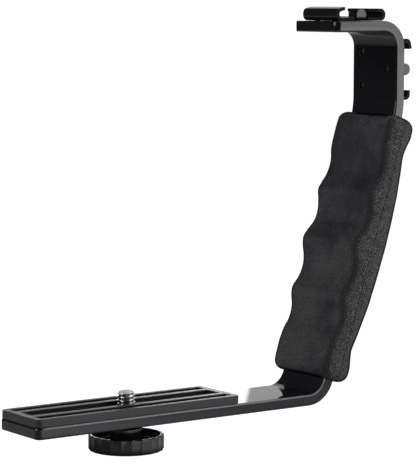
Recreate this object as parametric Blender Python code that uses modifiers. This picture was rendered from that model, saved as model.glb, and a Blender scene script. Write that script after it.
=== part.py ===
"""Camera flash bracket: a bent flat bar with a camera platform, a clamp screw, a hand grip and two shoes.

Lengths are in metres. X runs along the lower arm from its free end towards the grip, Y runs away from the
viewer across the bar, and Z is up. The world origin is the middle of the hand grip, on the bar inside it.
"""

import math

import bmesh
import bpy
from mathutils import Matrix, Vector

# Fits shared by every piece
SEAT_GAP = 0.0003
CUT_OVERRUN = 0.002
WELD_DISTANCE = 0.000001
FLAT_ANGLE = math.radians(0.2)

# Bar
BAR_WIDTH = 0.025
BAR_THICKNESS = 0.004
BAR_EDGE_BEVEL = 0.0004
BAR_CORNER_RADIUS = 0.0022
LOWER_ARM_LENGTH = 0.113
LOWER_BEND_INNER_RADIUS = 0.0072
EASING_BEND_INNER_RADIUS = 0.028
UPRIGHT_LENGTH = 0.0183
TOP_BEND_INNER_RADIUS = 0.0055
TOP_ARM_LENGTH = 0.0222
LEAN = math.radians(18.5)
SQUARE = math.radians(90)
BEND_STEP = math.radians(9)

# Camera screw
SCREW_PLACE = 0.0429
SCREW_DIAMETER = 0.00635
SCREW_RISE = 0.0065
THREAD_PITCH = 0.00127
THREAD_DEPTH = 0.0006
THREAD_COUNT = 4
SCREW_CHAMFER = 0.0007
NECK_DIAMETER = 0.0046
COLLAR_ACROSS = 0.0084
COLLAR_TOP_DROP = 0.0029
SOCKET_DIAMETER = 0.0054
SOCKET_DEPTH = 0.0056

# Slot that the camera screw slides in, from the first end of its travel to the last
SLOT_START = 0.014
SLOT_END_MARGIN = 0.012
SLOT_CLEARANCE = 0.0003

# Thrust washer
WASHER_DIAMETER = 0.011
WASHER_THICKNESS = 0.0012
WASHER_CLEARANCE = 0.0003

# Clamp knob
KNOB_DIAMETER = 0.026
KNOB_DROP = 0.00965
KNOB_RIM_HEIGHT = 0.0055
KNOB_RIM_WALL = 0.0013
KNOB_RIM_ROUNDING = 0.0003
KNOB_FLOOR_THICKNESS = 0.0022
KNOB_HUB_DIAMETER = 0.011
KNOB_FOOT_ROUNDING = 0.0008
FLUTE_COUNT = 22
FLUTE_DEPTH = 0.00035
FLUTE_RIDGE = 0.0006

# Platform pad
PAD_START = 0.0001
PAD_LENGTH = 0.0819
PAD_WIDTH = 0.0244
PAD_THICKNESS = 0.0026
PAD_CORNER_RADIUS = 0.0022
PAD_EDGE_BEVEL = 0.0003
PAD_RIM = 0.0021
PAD_END_RIM = 0.0032
PAD_RAIL_WIDTH = 0.0026
PAD_CHANNEL_WIDTH = 0.0074
PAD_GROOVE_DEPTH = 0.0012
PAD_SLOT_WIDTH = 0.0070

# Hand grip, measured along the sloping part of the bar
GRIP_START = 0.0003
GRIP_LENGTH = 0.0984
GRIP_ON_EASING_BEND = 0.0028
GRIP_WIDTH = 0.033
GRIP_SEAM_OFFSET = 0.0006
GRIP_END_ROUNDING = 0.0035
GRIP_BAR_CLEARANCE = 0.0003
GRIP_STATION_PITCH = 0.0024
FINGER_DEPTH = 0.0078
FINGER_CORNER_RADIUS = 0.0042
PALM_DEPTH = 0.0103
PALM_CORNER_RADIUS = 0.0075

# Depth of each side at even steps from the grip's lower end to its upper end, as shares of its greatest depth
FINGER_DEPTH_SHARES = (
    (0.76, 0.77, 0.79, 0.80, 0.78, 0.72, 0.60, 0.58, 0.65, 0.82, 0.86)
    + (0.70, 0.61, 0.61, 0.72, 0.91, 1.00, 0.86, 0.66, 0.58, 0.62, 0.74)
    + (0.88, 0.77, 0.63, 0.58, 0.61, 0.74, 0.79, 0.80, 0.81, 0.79, 0.77)
)
PALM_DEPTH_SHARES = (
    (0.79, 0.82, 0.82, 0.75, 0.70, 0.74, 0.79, 0.83, 0.87, 0.91, 0.94)
    + (0.95, 0.97, 0.98, 0.99, 0.99, 1.00, 1.00, 0.99, 0.98, 0.97, 0.95)
    + (0.93, 0.91, 0.87, 0.83, 0.79, 0.74, 0.72, 0.77, 0.84, 0.83, 0.80)
)

# Screws that draw the two grip shells together through the bar
GRIP_SCREW_PLACES = (0.0300, 0.0690)
GRIP_SCREW_DIAMETER = 0.0029
GRIP_SCREW_HEAD_DIAMETER = 0.0056
GRIP_SCREW_HEAD_HEIGHT = 0.0018
GRIP_SCREW_REACH = 0.0048
GRIP_SCREW_SEAT = 0.0052
GRIP_SCREW_CLEARANCE = 0.0003

# Accessory shoes
SHOE_WIDTH = 0.0222
SHOE_LENGTH = 0.0197
SHOE_SHEET = 0.0012
SHOE_CURLED_HEIGHT = 0.0046
SHOE_PLAIN_HEIGHT = 0.0043
SHOE_BEND_INNER_RADIUS = 0.0008
SHOE_LIP_REACH = 0.0035
SHOE_CURLED_LIP = math.radians(13)
SHOE_PLAIN_LIP = math.radians(2)
SHOE_LIP_CORNER_CUT = 0.0024
TOP_SHOE_SETBACK = 0.0130
SIDE_SHOE_DROP = 0.0176
SHOE_OFFSET = -0.0004
TAB_WIDTH = 0.0043
TAB_HEIGHT = 0.0033
TAB_SHEET = 0.0010
TAB_BEND_INNER_RADIUS = 0.0004
TAB_RELIEF_WIDTH = 0.0008
TAB_RELIEF_DEPTH = 0.0026
TAB_ROOT_OVERLAP = 0.0010

# Countersunk screws that hold the shoes
SHOE_SCREW_DIAMETER = 0.0022
SHOE_SCREW_HEAD_DIAMETER = 0.0032
SHOE_SCREW_SPREAD = 0.0062
SHOE_SCREW_BACK = 0.0077
SHOE_SCREW_FRONT = 0.0062
SHOE_SCREW_END_SINK = 0.0006
SHOE_SCREW_CLEARANCE = 0.0003

# Facets
KNOB_STEPS = 44
SCREW_STEPS = 20
SMALL_STEPS = 12
CORNER_SEGMENTS = 4
GRIP_CORNER_SEGMENTS = 4


def clear_scene():
    for old in list(bpy.data.objects):
        bpy.data.objects.remove(old, do_unlink=True)


def new_collection(name, is_shown):
    collection = bpy.data.collections.new(name)
    bpy.context.scene.collection.children.link(collection)
    collection.hide_render = not is_shown
    return collection


clear_scene()
PARTS = new_collection("camera_flash_bracket", True)
CUTTERS = new_collection("cutters", False)


# Sizes that follow from others

SLOPE_LENGTH = GRIP_START + GRIP_LENGTH - GRIP_ON_EASING_BEND
SLOT_END = PAD_START + PAD_LENGTH - SLOT_END_MARGIN


# Helpers for meshes and materials


def adopt(obj, collection):
    """Moves an object from wherever it is linked into one collection."""
    for holder in list(obj.users_collection):
        holder.objects.unlink(obj)
    collection.objects.link(obj)
    return obj


def paint(obj, colour, roughness, metallic):
    """Gives an object a material of its own."""
    material = bpy.data.materials.new(obj.name)
    material.use_nodes = True
    shader = material.node_tree.nodes["Principled BSDF"]
    shader.inputs["Base Color"].default_value = (*colour, 1)
    shader.inputs["Roughness"].default_value = roughness
    shader.inputs["Metallic"].default_value = metallic
    obj.data.materials.clear()
    obj.data.materials.append(material)


def smooth(obj):
    obj.data.shade_smooth()
    obj.data.set_sharp_from_angle(angle=math.radians(35))


def evaluated_mesh(obj):
    """A new mesh of the object with its modifiers applied."""
    graph = bpy.context.evaluated_depsgraph_get()
    return bpy.data.meshes.new_from_object(obj.evaluated_get(graph))


def bake(obj):
    """Applies the object's modifiers."""
    mesh = evaluated_mesh(obj)
    obj.modifiers.clear()
    obj.data = mesh
    return obj


def edit_mesh(obj, work):
    """Runs work(bm) on the object's mesh."""
    bm = bmesh.new()
    bm.from_mesh(obj.data)
    work(bm)
    bm.to_mesh(obj.data)
    bm.free()
    return obj


def weld(bm):
    """Closes the mesh, turns its faces outwards and makes each flat side one face."""
    bmesh.ops.remove_doubles(bm, verts=bm.verts, dist=WELD_DISTANCE)
    bmesh.ops.recalc_face_normals(bm, faces=bm.faces)
    bmesh.ops.dissolve_limit(bm, angle_limit=FLAT_ANGLE, verts=bm.verts, edges=bm.edges)


def outline_solid(name, points, half_depth):
    """A closed solid from a flat outline in local XY, extruded both ways along local Z."""
    curve = bpy.data.curves.new(name, "CURVE")
    curve.dimensions = "2D"
    curve.fill_mode = "BOTH"
    curve.extrude = half_depth
    spline = curve.splines.new("POLY")
    spline.points.add(len(points) - 1)
    for point, (x, y) in zip(spline.points, points):
        point.co = (x, y, 0, 1)
    spline.use_cyclic_u = True
    guide = bpy.data.objects.new(name + "_outline", curve)
    bpy.context.scene.collection.objects.link(guide)
    solid = bpy.data.objects.new(name, evaluated_mesh(guide))
    solid.matrix_world = guide.matrix_world
    bpy.data.objects.remove(guide, do_unlink=True)
    PARTS.objects.link(solid)
    return edit_mesh(solid, weld)


def stand_up(obj):
    """Turns an outline drawn in XY so that it stands in XZ and its depth runs along Y."""
    obj.data.transform(Matrix.Rotation(SQUARE, 4, "X"))
    return obj


def box(name, low, high):
    """A box between two corners, in the frame of the piece that uses it."""
    bpy.ops.mesh.primitive_cube_add(size=1)
    obj = adopt(bpy.context.object, PARTS)
    obj.name = name
    low, high = Vector(low), Vector(high)
    size = Matrix.Diagonal((*(high - low), 1))
    obj.data.transform(Matrix.Translation((low + high) / 2) @ size)
    return obj


def rod(name, radius, low, high, steps):
    """A cylinder or prism along Z, between two heights."""
    bpy.ops.mesh.primitive_cylinder_add(vertices=steps, radius=radius, depth=high - low)
    obj = adopt(bpy.context.object, PARTS)
    obj.name = name
    obj.data.transform(Matrix.Translation((0, 0, (low + high) / 2)))
    return obj


def turned(name, profile, steps):
    """A solid of revolution about Z, from a closed profile of (radius, height) run down its outer side."""
    mesh = bpy.data.meshes.new(name)
    ring = len(profile)
    edges = [(i, (i + 1) % ring) for i in range(ring)]
    if profile[0][0] == 0 and profile[-1][0] == 0:
        edges.pop()
    mesh.from_pydata([(r, 0, z) for r, z in profile], edges, [])
    obj = bpy.data.objects.new(name, mesh)
    PARTS.objects.link(obj)
    screw = obj.modifiers.new("Turn", "SCREW")
    screw.steps = steps
    screw.render_steps = steps
    screw.use_merge_vertices = True
    screw.merge_threshold = WELD_DISTANCE
    bake(obj)
    return edit_mesh(obj, weld)


def bevel(obj, width, segments, angle=math.radians(40)):
    rounding = obj.modifiers.new("Edges", "BEVEL")
    rounding.width = width
    rounding.segments = segments
    rounding.limit_method = "ANGLE"
    rounding.angle_limit = angle


def combine(obj, others, operation):
    """Cuts or joins other objects into this one. They become hidden cutters in its frame."""
    for other in others:
        adopt(other, CUTTERS)
        other.hide_render = True
        other.display_type = "WIRE"
        modifier = obj.modifiers.new(other.name, "BOOLEAN")
        modifier.operation = operation
        modifier.object = other
    bpy.context.view_layer.update()
    bake(obj)
    for other in others:
        other.hide_set(True)
    return obj


def cut(obj, *cutters):
    return combine(obj, cutters, "DIFFERENCE")


def join(obj, *others):
    return combine(obj, others, "UNION")


def placed_copy(source, name, collection):
    """Another object with the same mesh."""
    twin = bpy.data.objects.new(name, source.data)
    collection.objects.link(twin)
    return twin


# Strips bent from flat stock


def walk_strip(segments, thickness, start, heading):
    """Follows straight runs and left-hand bends. Returns the two edges and the frame after each segment."""
    place = Vector(start)
    left, right, frames = [], [], []

    def mark():
        side = Vector((-math.sin(heading), math.cos(heading))) * thickness / 2
        left.append(place + side)
        right.append(place - side)

    mark()
    for kind, amount, inner_radius in segments:
        if kind == "run":
            place = place + Vector((math.cos(heading), math.sin(heading))) * amount
            mark()
        else:
            radius = inner_radius + thickness / 2
            centre = place + Vector((-math.sin(heading), math.cos(heading))) * radius
            steps = math.ceil(amount / BEND_STEP)
            for _ in range(steps):
                heading += amount / steps
                place = centre + Vector((math.sin(heading), -math.cos(heading))) * radius
                mark()
        frames.append((place.copy(), heading))
    return left, right, frames


BAR_SEGMENTS = (
    ("run", LOWER_ARM_LENGTH, 0),
    ("bend", SQUARE - LEAN, LOWER_BEND_INNER_RADIUS),
    ("run", SLOPE_LENGTH, 0),
    ("bend", LEAN, EASING_BEND_INNER_RADIUS),
    ("run", UPRIGHT_LENGTH, 0),
    ("bend", SQUARE, TOP_BEND_INNER_RADIUS),
    ("run", TOP_ARM_LENGTH, 0),
)
BAR_LEFT, BAR_RIGHT, BAR_FRAMES = walk_strip(BAR_SEGMENTS, BAR_THICKNESS, (0, BAR_THICKNESS / 2), 0)
SLOPE_FOOT = BAR_FRAMES[1][0]
UPRIGHT_FACE = BAR_FRAMES[4][0].x + BAR_THICKNESS / 2
TOP_FACE = BAR_FRAMES[6][0].y + BAR_THICKNESS / 2
TOP_ARM_END = BAR_FRAMES[6][0].x
SLOT_WIDTH = NECK_DIAMETER + 2 * SLOT_CLEARANCE
GRIP_MIDDLE = GRIP_START + GRIP_LENGTH / 2
ORIGIN_IN_BAR = (
    SLOPE_FOOT.x + GRIP_MIDDLE * math.sin(LEAN),
    0,
    SLOPE_FOOT.y + GRIP_MIDDLE * math.cos(LEAN),
)
SHOE_SCREW_SPOTS = (
    (-SHOE_SCREW_SPREAD, SHOE_SCREW_BACK),
    (SHOE_SCREW_SPREAD, SHOE_SCREW_BACK),
    (0, -SHOE_SCREW_FRONT),
)
TOP_SHOE_SEAT = Matrix.Translation(
    (TOP_ARM_END + TOP_SHOE_SETBACK, SHOE_OFFSET, TOP_FACE + SEAT_GAP)
)
SIDE_SHOE_SEAT = Matrix.Translation(
    (UPRIGHT_FACE + SEAT_GAP, SHOE_OFFSET, TOP_FACE - SIDE_SHOE_DROP)
) @ Matrix.Rotation(SQUARE, 4, "Y")
GRIP_SEAT = Matrix.Translation((SLOPE_FOOT.x, 0, SLOPE_FOOT.y)) @ Matrix.Rotation(LEAN, 4, "Y")
TOWARDS_PALM = Matrix.Rotation(SQUARE, 4, "Y")


def round_ended_slot(name, half_width, low, high):
    """A cutter along X from the slot's first centre to its last, with round ends."""
    outline = []
    for centre, start in ((SLOT_END, -SQUARE), (SLOT_START, SQUARE)):
        for step in range(2 * CORNER_SEGMENTS + 1):
            angle = start + step * SQUARE / CORNER_SEGMENTS
            outline.append((centre + half_width * math.cos(angle), half_width * math.sin(angle)))
    slot = outline_solid(name, outline, (high - low) / 2)
    slot.data.transform(Matrix.Translation((0, 0, (high + low) / 2)))
    return slot


def rounded_rectangle(length, width, radius):
    """Outline points of a rectangle with round corners, centred on the origin."""
    outline = []
    for corner in range(4):
        turn = corner * SQUARE
        side_x = 1 if corner in (0, 3) else -1
        side_y = 1 if corner in (0, 1) else -1
        centre = (side_x * (length / 2 - radius), side_y * (width / 2 - radius))
        for step in range(CORNER_SEGMENTS + 1):
            angle = turn + step * SQUARE / CORNER_SEGMENTS
            outline.append((centre[0] + radius * math.cos(angle), centre[1] + radius * math.sin(angle)))
    return outline


def rounded_end_corners(bm, is_corner, radius):
    """Rounds the short edges that is_corner picks out."""
    edges = [edge for edge in bm.edges if is_corner(*edge.verts)]
    bmesh.ops.bevel(bm, geom=edges, offset=radius, segments=CORNER_SEGMENTS, profile=0.5, affect="EDGES")


# Bar


def at_free_end(first, second):
    """Whether an edge of the bar stands at a corner of one of its two free ends."""
    ends = (Vector((0, BAR_THICKNESS / 2)), BAR_FRAMES[-1][0])
    near_end = any(
        abs(first.co.x - end.x) < WELD_DISTANCE and abs(first.co.z - end.y) < BAR_THICKNESS
        for end in ends
    )
    upright = abs(abs(first.co.z - second.co.z) - BAR_THICKNESS) < WELD_DISTANCE
    level = abs(first.co.y - second.co.y) < WELD_DISTANCE
    return near_end and upright and level


def make_bar():
    bar = stand_up(outline_solid("frame_bar", BAR_RIGHT + BAR_LEFT[::-1], BAR_WIDTH / 2))
    edit_mesh(bar, lambda bm: rounded_end_corners(bm, at_free_end, BAR_CORNER_RADIUS))
    bevel(bar, BAR_EDGE_BEVEL, 1, math.radians(50))
    bake(bar)
    cutters = [round_ended_slot("bar_slot", SLOT_WIDTH / 2, -CUT_OVERRUN, BAR_THICKNESS + CUT_OVERRUN)]
    hole = SHOE_SCREW_DIAMETER / 2 + SHOE_SCREW_CLEARANCE
    depth = BAR_THICKNESS + CUT_OVERRUN
    for label, seat in (("top", TOP_SHOE_SEAT), ("side", SIDE_SHOE_SEAT)):
        for number, (x, y) in enumerate(SHOE_SCREW_SPOTS, 1):
            drill = rod(f"{label}_shoe_hole_{number}", hole, -depth, CUT_OVERRUN, SMALL_STEPS)
            drill.data.transform(seat @ Matrix.Translation((x, y, 0)))
            cutters.append(drill)
    hole = GRIP_SCREW_DIAMETER / 2 + GRIP_SCREW_CLEARANCE
    reach = BAR_THICKNESS / 2 + CUT_OVERRUN
    for number, place in enumerate(GRIP_SCREW_PLACES, 1):
        drill = rod(f"grip_hole_{number}", hole, -reach, reach, SMALL_STEPS)
        drill.data.transform(GRIP_SEAT @ Matrix.Translation((0, 0, place)) @ TOWARDS_PALM)
        cutters.append(drill)
    cut(bar, *cutters)
    paint(bar, (0.012, 0.012, 0.014), 0.22, 0.0)
    smooth(bar)
    return bar


# Camera platform


def make_pad():
    pad = outline_solid(
        "platform_pad", rounded_rectangle(PAD_LENGTH, PAD_WIDTH, PAD_CORNER_RADIUS), PAD_THICKNESS / 2
    )
    bottom = BAR_THICKNESS + SEAT_GAP
    top = bottom + PAD_THICKNESS
    pad.data.transform(Matrix.Translation((PAD_START + PAD_LENGTH / 2, 0, (bottom + top) / 2)))
    bevel(pad, PAD_EDGE_BEVEL, 1)
    bake(pad)
    floor = top - PAD_GROOVE_DEPTH
    ceiling = top + CUT_OVERRUN
    start = PAD_START + PAD_END_RIM
    end = PAD_START + PAD_LENGTH - PAD_END_RIM
    rail = PAD_CHANNEL_WIDTH / 2 + PAD_RAIL_WIDTH
    rim = PAD_WIDTH / 2 - PAD_RIM
    half = PAD_CHANNEL_WIDTH / 2
    cut(
        pad,
        box("near_groove", (start, -rim, floor), (end, -rail, ceiling)),
        box("far_groove", (start, rail, floor), (end, rim, ceiling)),
        box("channel", (start, -half, floor), (end, half, ceiling)),
        round_ended_slot("pad_slot", PAD_SLOT_WIDTH / 2, bottom - CUT_OVERRUN, ceiling),
    )
    paint(pad, (0.035, 0.035, 0.036), 0.55, 0.0)
    smooth(pad)
    return pad


# Clamp: screw, washer and knob, all turned about the screw's axis with Z = 0 at the bar's underside


def make_camera_screw():
    crest = SCREW_DIAMETER / 2
    root = crest - THREAD_DEPTH
    neck = NECK_DIAMETER / 2
    tip = BAR_THICKNESS + SCREW_RISE
    shoulder = BAR_THICKNESS + SEAT_GAP
    profile = [(0, tip), (crest - SCREW_CHAMFER, tip)]
    top_crest = tip - SCREW_CHAMFER
    for turn in range(THREAD_COUNT):
        z = top_crest - turn * THREAD_PITCH
        profile += [(crest, z), (root, z - THREAD_PITCH / 2)]
    profile += [
        (crest, top_crest - THREAD_COUNT * THREAD_PITCH),
        (crest, shoulder),
        (neck, shoulder),
        (neck, -COLLAR_TOP_DROP),
        (0, -COLLAR_TOP_DROP),
    ]
    screw = turned("camera_screw", profile, SCREW_STEPS)
    collar_bottom = -KNOB_DROP + SEAT_GAP
    corner = COLLAR_ACROSS / 2 / math.cos(math.radians(30))
    overlap = NECK_DIAMETER / 2
    root_radius = neck * math.cos(SQUARE / 6)
    neck_in_collar = rod("neck_root", root_radius, -COLLAR_TOP_DROP - overlap, 0, SMALL_STEPS)
    collar = rod("collar", corner, collar_bottom, -COLLAR_TOP_DROP, 6)
    join(collar, neck_in_collar)
    join(screw, collar)
    socket_end = collar_bottom + SOCKET_DEPTH
    socket = rod("tripod_socket", SOCKET_DIAMETER / 2, collar_bottom - CUT_OVERRUN, socket_end, SMALL_STEPS)
    cut(screw, socket)
    paint(screw, (0.62, 0.62, 0.63), 0.25, 1.0)
    smooth(screw)
    return screw


def make_washer():
    top = -SEAT_GAP
    bottom = top - WASHER_THICKNESS
    outer = WASHER_DIAMETER / 2
    inner = NECK_DIAMETER / 2 + WASHER_CLEARANCE
    profile = [(outer, top), (outer, bottom), (inner, bottom), (inner, top)]
    washer = turned("thrust_washer", profile, SCREW_STEPS)
    paint(washer, (0.02, 0.02, 0.021), 0.4, 0.0)
    smooth(washer)
    return washer


def flute_cutters():
    """Round bars that shave shallow scallops around the rim and leave narrow ridges between them."""
    rim = KNOB_DIAMETER / 2
    half_chord = (math.tau * rim / FLUTE_COUNT - FLUTE_RIDGE) / 2
    radius = (half_chord**2 + FLUTE_DEPTH**2) / (2 * FLUTE_DEPTH)
    reach = rim - FLUTE_DEPTH + radius
    cutters = []
    low = -KNOB_DROP - CUT_OVERRUN
    high = -KNOB_DROP + KNOB_RIM_HEIGHT + CUT_OVERRUN
    for number in range(FLUTE_COUNT):
        shave = rod(f"flute_{number + 1}", radius, low, high, KNOB_STEPS)
        turn = Matrix.Rotation(math.tau * number / FLUTE_COUNT, 4, "Z")
        shave.data.transform(turn @ Matrix.Translation((reach, 0, 0)))
        cutters.append(shave)
    return cutters


def make_knob():
    outer = KNOB_DIAMETER / 2
    wall = outer - KNOB_RIM_WALL
    hub = KNOB_HUB_DIAMETER / 2
    bore = NECK_DIAMETER / 2 + SEAT_GAP
    bottom = -KNOB_DROP
    rim_top = bottom + KNOB_RIM_HEIGHT
    floor = bottom + KNOB_FLOOR_THICKNESS
    hub_top = -2 * SEAT_GAP - WASHER_THICKNESS
    profile = [
        (hub, hub_top),
        (hub, floor),
        (wall, floor),
        (wall, rim_top - KNOB_RIM_ROUNDING),
        (wall + KNOB_RIM_ROUNDING, rim_top),
        (outer - KNOB_RIM_ROUNDING, rim_top),
        (outer, rim_top - KNOB_RIM_ROUNDING),
        (outer, bottom + KNOB_FOOT_ROUNDING),
        (outer - KNOB_FOOT_ROUNDING, bottom),
        (bore, bottom),
        (bore, hub_top),
    ]
    knob = turned("clamp_knob", profile, KNOB_STEPS)
    corner = (COLLAR_ACROSS / 2 + SEAT_GAP) / math.cos(math.radians(30))
    pocket = rod("collar_pocket", corner, bottom - CUT_OVERRUN, -COLLAR_TOP_DROP + SEAT_GAP, 6)
    cut(knob, pocket, *flute_cutters())
    paint(knob, (0.02, 0.02, 0.021), 0.38, 0.0)
    smooth(knob)
    return knob


# Hand grip


def curve_through(shares, place):
    """A smooth curve through evenly spaced values, at a place between 0 and 1."""
    last = len(shares) - 1
    index = min(int(place * last), last - 1)
    before, first, second, after = (shares[min(max(index + step, 0), last)] for step in (-1, 0, 1, 2))
    t = place * last - index
    bend = 2 * before - 5 * first + 4 * second - after
    twist = 3 * (first - second) + after - before
    return first + t / 2 * (second - before + t * (bend + t * twist))


def grip_section(along):
    """Outline of the grip at one station: a rectangle with round corners, drawn in at the two ends."""
    from_end = min(along, GRIP_LENGTH - along)
    inset = 0
    if from_end < GRIP_END_ROUNDING:
        inset = GRIP_END_ROUNDING - math.sqrt(GRIP_END_ROUNDING**2 - (GRIP_END_ROUNDING - from_end) ** 2)
    fingers = inset - FINGER_DEPTH * curve_through(FINGER_DEPTH_SHARES, along / GRIP_LENGTH)
    palm = PALM_DEPTH * curve_through(PALM_DEPTH_SHARES, along / GRIP_LENGTH) - inset
    half_width = GRIP_WIDTH / 2 - inset
    finger_radius = FINGER_CORNER_RADIUS - inset
    palm_radius = PALM_CORNER_RADIUS - inset
    corners = (
        (palm - palm_radius, half_width - palm_radius, palm_radius, 0),
        (fingers + finger_radius, half_width - finger_radius, finger_radius, SQUARE),
        (fingers + finger_radius, -half_width + finger_radius, finger_radius, 2 * SQUARE),
        (palm - palm_radius, -half_width + palm_radius, palm_radius, 3 * SQUARE),
    )
    outline = []
    for x, y, radius, start in corners:
        for step in range(GRIP_CORNER_SEGMENTS + 1):
            angle = start + step * SQUARE / GRIP_CORNER_SEGMENTS
            outline.append((x + radius * math.cos(angle), y + radius * math.sin(angle)))
    return outline


def grip_stations():
    """Places of the sections: close together at the round ends, evenly spread between them."""
    ends = []
    for step in range(CORNER_SEGMENTS + 1):
        ends.append(GRIP_END_ROUNDING * (1 - math.cos(step * SQUARE / CORNER_SEGMENTS)))
    straight = GRIP_LENGTH - 2 * GRIP_END_ROUNDING
    count = round(straight / GRIP_STATION_PITCH)
    middle = [GRIP_END_ROUNDING + straight * step / count for step in range(1, count)]
    return ends + middle + [GRIP_LENGTH - end for end in ends[::-1]]


def grip_body(name):
    """The whole grip as one solid lofted through its sections: Z along the bar, X towards the palm."""
    bm = bmesh.new()
    rings = []
    for along in grip_stations():
        section = grip_section(along)
        rings.append([bm.verts.new((x, y, GRIP_START + along)) for x, y in section])
    size = len(rings[0])
    for lower, upper in zip(rings, rings[1:]):
        for i in range(size):
            j = (i + 1) % size
            bm.faces.new((lower[i], lower[j], upper[j], upper[i]))
    bm.faces.new(rings[0][::-1])
    bm.faces.new(rings[-1])
    mesh = bpy.data.meshes.new(name)
    bm.to_mesh(mesh)
    bm.free()
    body = bpy.data.objects.new(name, mesh)
    PARTS.objects.link(body)
    return edit_mesh(body, weld)


def grip_shell(name, keep_palm):
    """One half of the grip: the body cut at the seam, hollowed for the bar and drilled for its screws."""
    shell = grip_body(name)
    side = 1 if keep_palm else -1
    reach = GRIP_WIDTH
    face = GRIP_SEAM_OFFSET + side * SEAT_GAP / 2
    low = (min(face, -side * reach), -reach, -reach)
    high = (max(face, -side * reach), reach, GRIP_LENGTH + reach)
    half_bar = BAR_THICKNESS / 2 + GRIP_BAR_CLEARANCE
    half_width = BAR_WIDTH / 2 + GRIP_BAR_CLEARANCE
    cutters = [
        box(name + "_other_half", low, high),
        box(
            name + "_bar_way",
            (-half_bar, -half_width, -CUT_OVERRUN),
            (half_bar, half_width, GRIP_LENGTH + CUT_OVERRUN),
        ),
    ]
    clearance = GRIP_SCREW_CLEARANCE
    shank_radius = GRIP_SCREW_DIAMETER / 2 + clearance
    head_radius = GRIP_SCREW_HEAD_DIAMETER / 2 + clearance
    shank_end = -GRIP_SCREW_REACH - clearance
    outside = PALM_DEPTH + CUT_OVERRUN
    drills = [("shank", shank_radius, shank_end, GRIP_SCREW_SEAT + CUT_OVERRUN)]
    if keep_palm:
        drills.append(("head", head_radius, GRIP_SCREW_SEAT, outside))
    for number, place in enumerate(GRIP_SCREW_PLACES, 1):
        for label, radius, low, high in drills:
            drill = rod(f"{name}_{label}_{number}", radius, low, high, SMALL_STEPS)
            drill.data.transform(Matrix.Translation((0, 0, place)) @ TOWARDS_PALM)
            cutters.append(drill)
    cut(shell, *cutters)
    shell.matrix_world = GRIP_SEAT
    colour = (0.034, 0.034, 0.036) if keep_palm else (0.026, 0.026, 0.029)
    paint(shell, colour, 0.55, 0.0)
    smooth(shell)
    return shell


def make_grip_screws():
    """Pan-head screws along X, from the palm side through the bar into the finger side."""
    radius = GRIP_SCREW_DIAMETER / 2
    head = GRIP_SCREW_HEAD_DIAMETER / 2
    seat = GRIP_SCREW_SEAT + SEAT_GAP
    crown = seat + GRIP_SCREW_HEAD_HEIGHT
    rounding = GRIP_SCREW_HEAD_HEIGHT / 2
    profile = [
        (0, crown),
        (head - rounding, crown),
        (head, crown - rounding),
        (head, seat),
        (radius, seat),
        (radius, -GRIP_SCREW_REACH + radius),
        (0, -GRIP_SCREW_REACH),
    ]
    screws = []
    for label, place in zip(("lower", "upper"), GRIP_SCREW_PLACES):
        name = f"grip_screw_{label}"
        screw = placed_copy(screws[0], name, PARTS) if screws else turned(name, profile, SMALL_STEPS)
        screw.matrix_world = GRIP_SEAT @ Matrix.Translation((0, 0, place)) @ TOWARDS_PALM
        screws.append(screw)
    paint(screws[0], (0.30, 0.30, 0.31), 0.3, 1.0)
    smooth(screws[0])
    return screws


# Accessory shoes, drawn on their seat plane: X across the channel, Y along it, Z away from the bar


def shoe_half(height, lip_lift):
    """Inner and outer edge of one half of the channel's section, from the middle of its floor to the lip."""
    bend = SHOE_BEND_INNER_RADIUS + SHOE_SHEET
    flange = height - 2 * bend
    lip = (SHOE_LIP_REACH - bend * (1 - math.sin(lip_lift))) / math.cos(lip_lift)
    segments = (
        ("run", SHOE_WIDTH / 2 - bend, 0),
        ("bend", SQUARE, SHOE_BEND_INNER_RADIUS),
        ("run", flange, 0),
        ("bend", SQUARE - lip_lift, SHOE_BEND_INNER_RADIUS),
        ("run", lip, 0),
    )
    inner, outer, _ = walk_strip(segments, SHOE_SHEET, (0, SHOE_SHEET / 2), 0)
    return inner[1:], outer[1:]


def shoe_lip_cut(name):
    """A wedge that takes the far corner off the plain lip."""
    tip = SHOE_WIDTH / 2 - SHOE_LIP_REACH
    back = SHOE_LENGTH / 2
    outline = [
        (tip - CUT_OVERRUN, back + CUT_OVERRUN),
        (tip - CUT_OVERRUN, back - SHOE_LIP_CORNER_CUT - CUT_OVERRUN),
        (tip + SHOE_LIP_CORNER_CUT + CUT_OVERRUN, back + CUT_OVERRUN),
    ]
    wedge = outline_solid(name, outline, SHOE_SHEET + CUT_OVERRUN)
    wedge.data.transform(Matrix.Translation((0, 0, SHOE_PLAIN_HEIGHT)))
    return wedge


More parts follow.
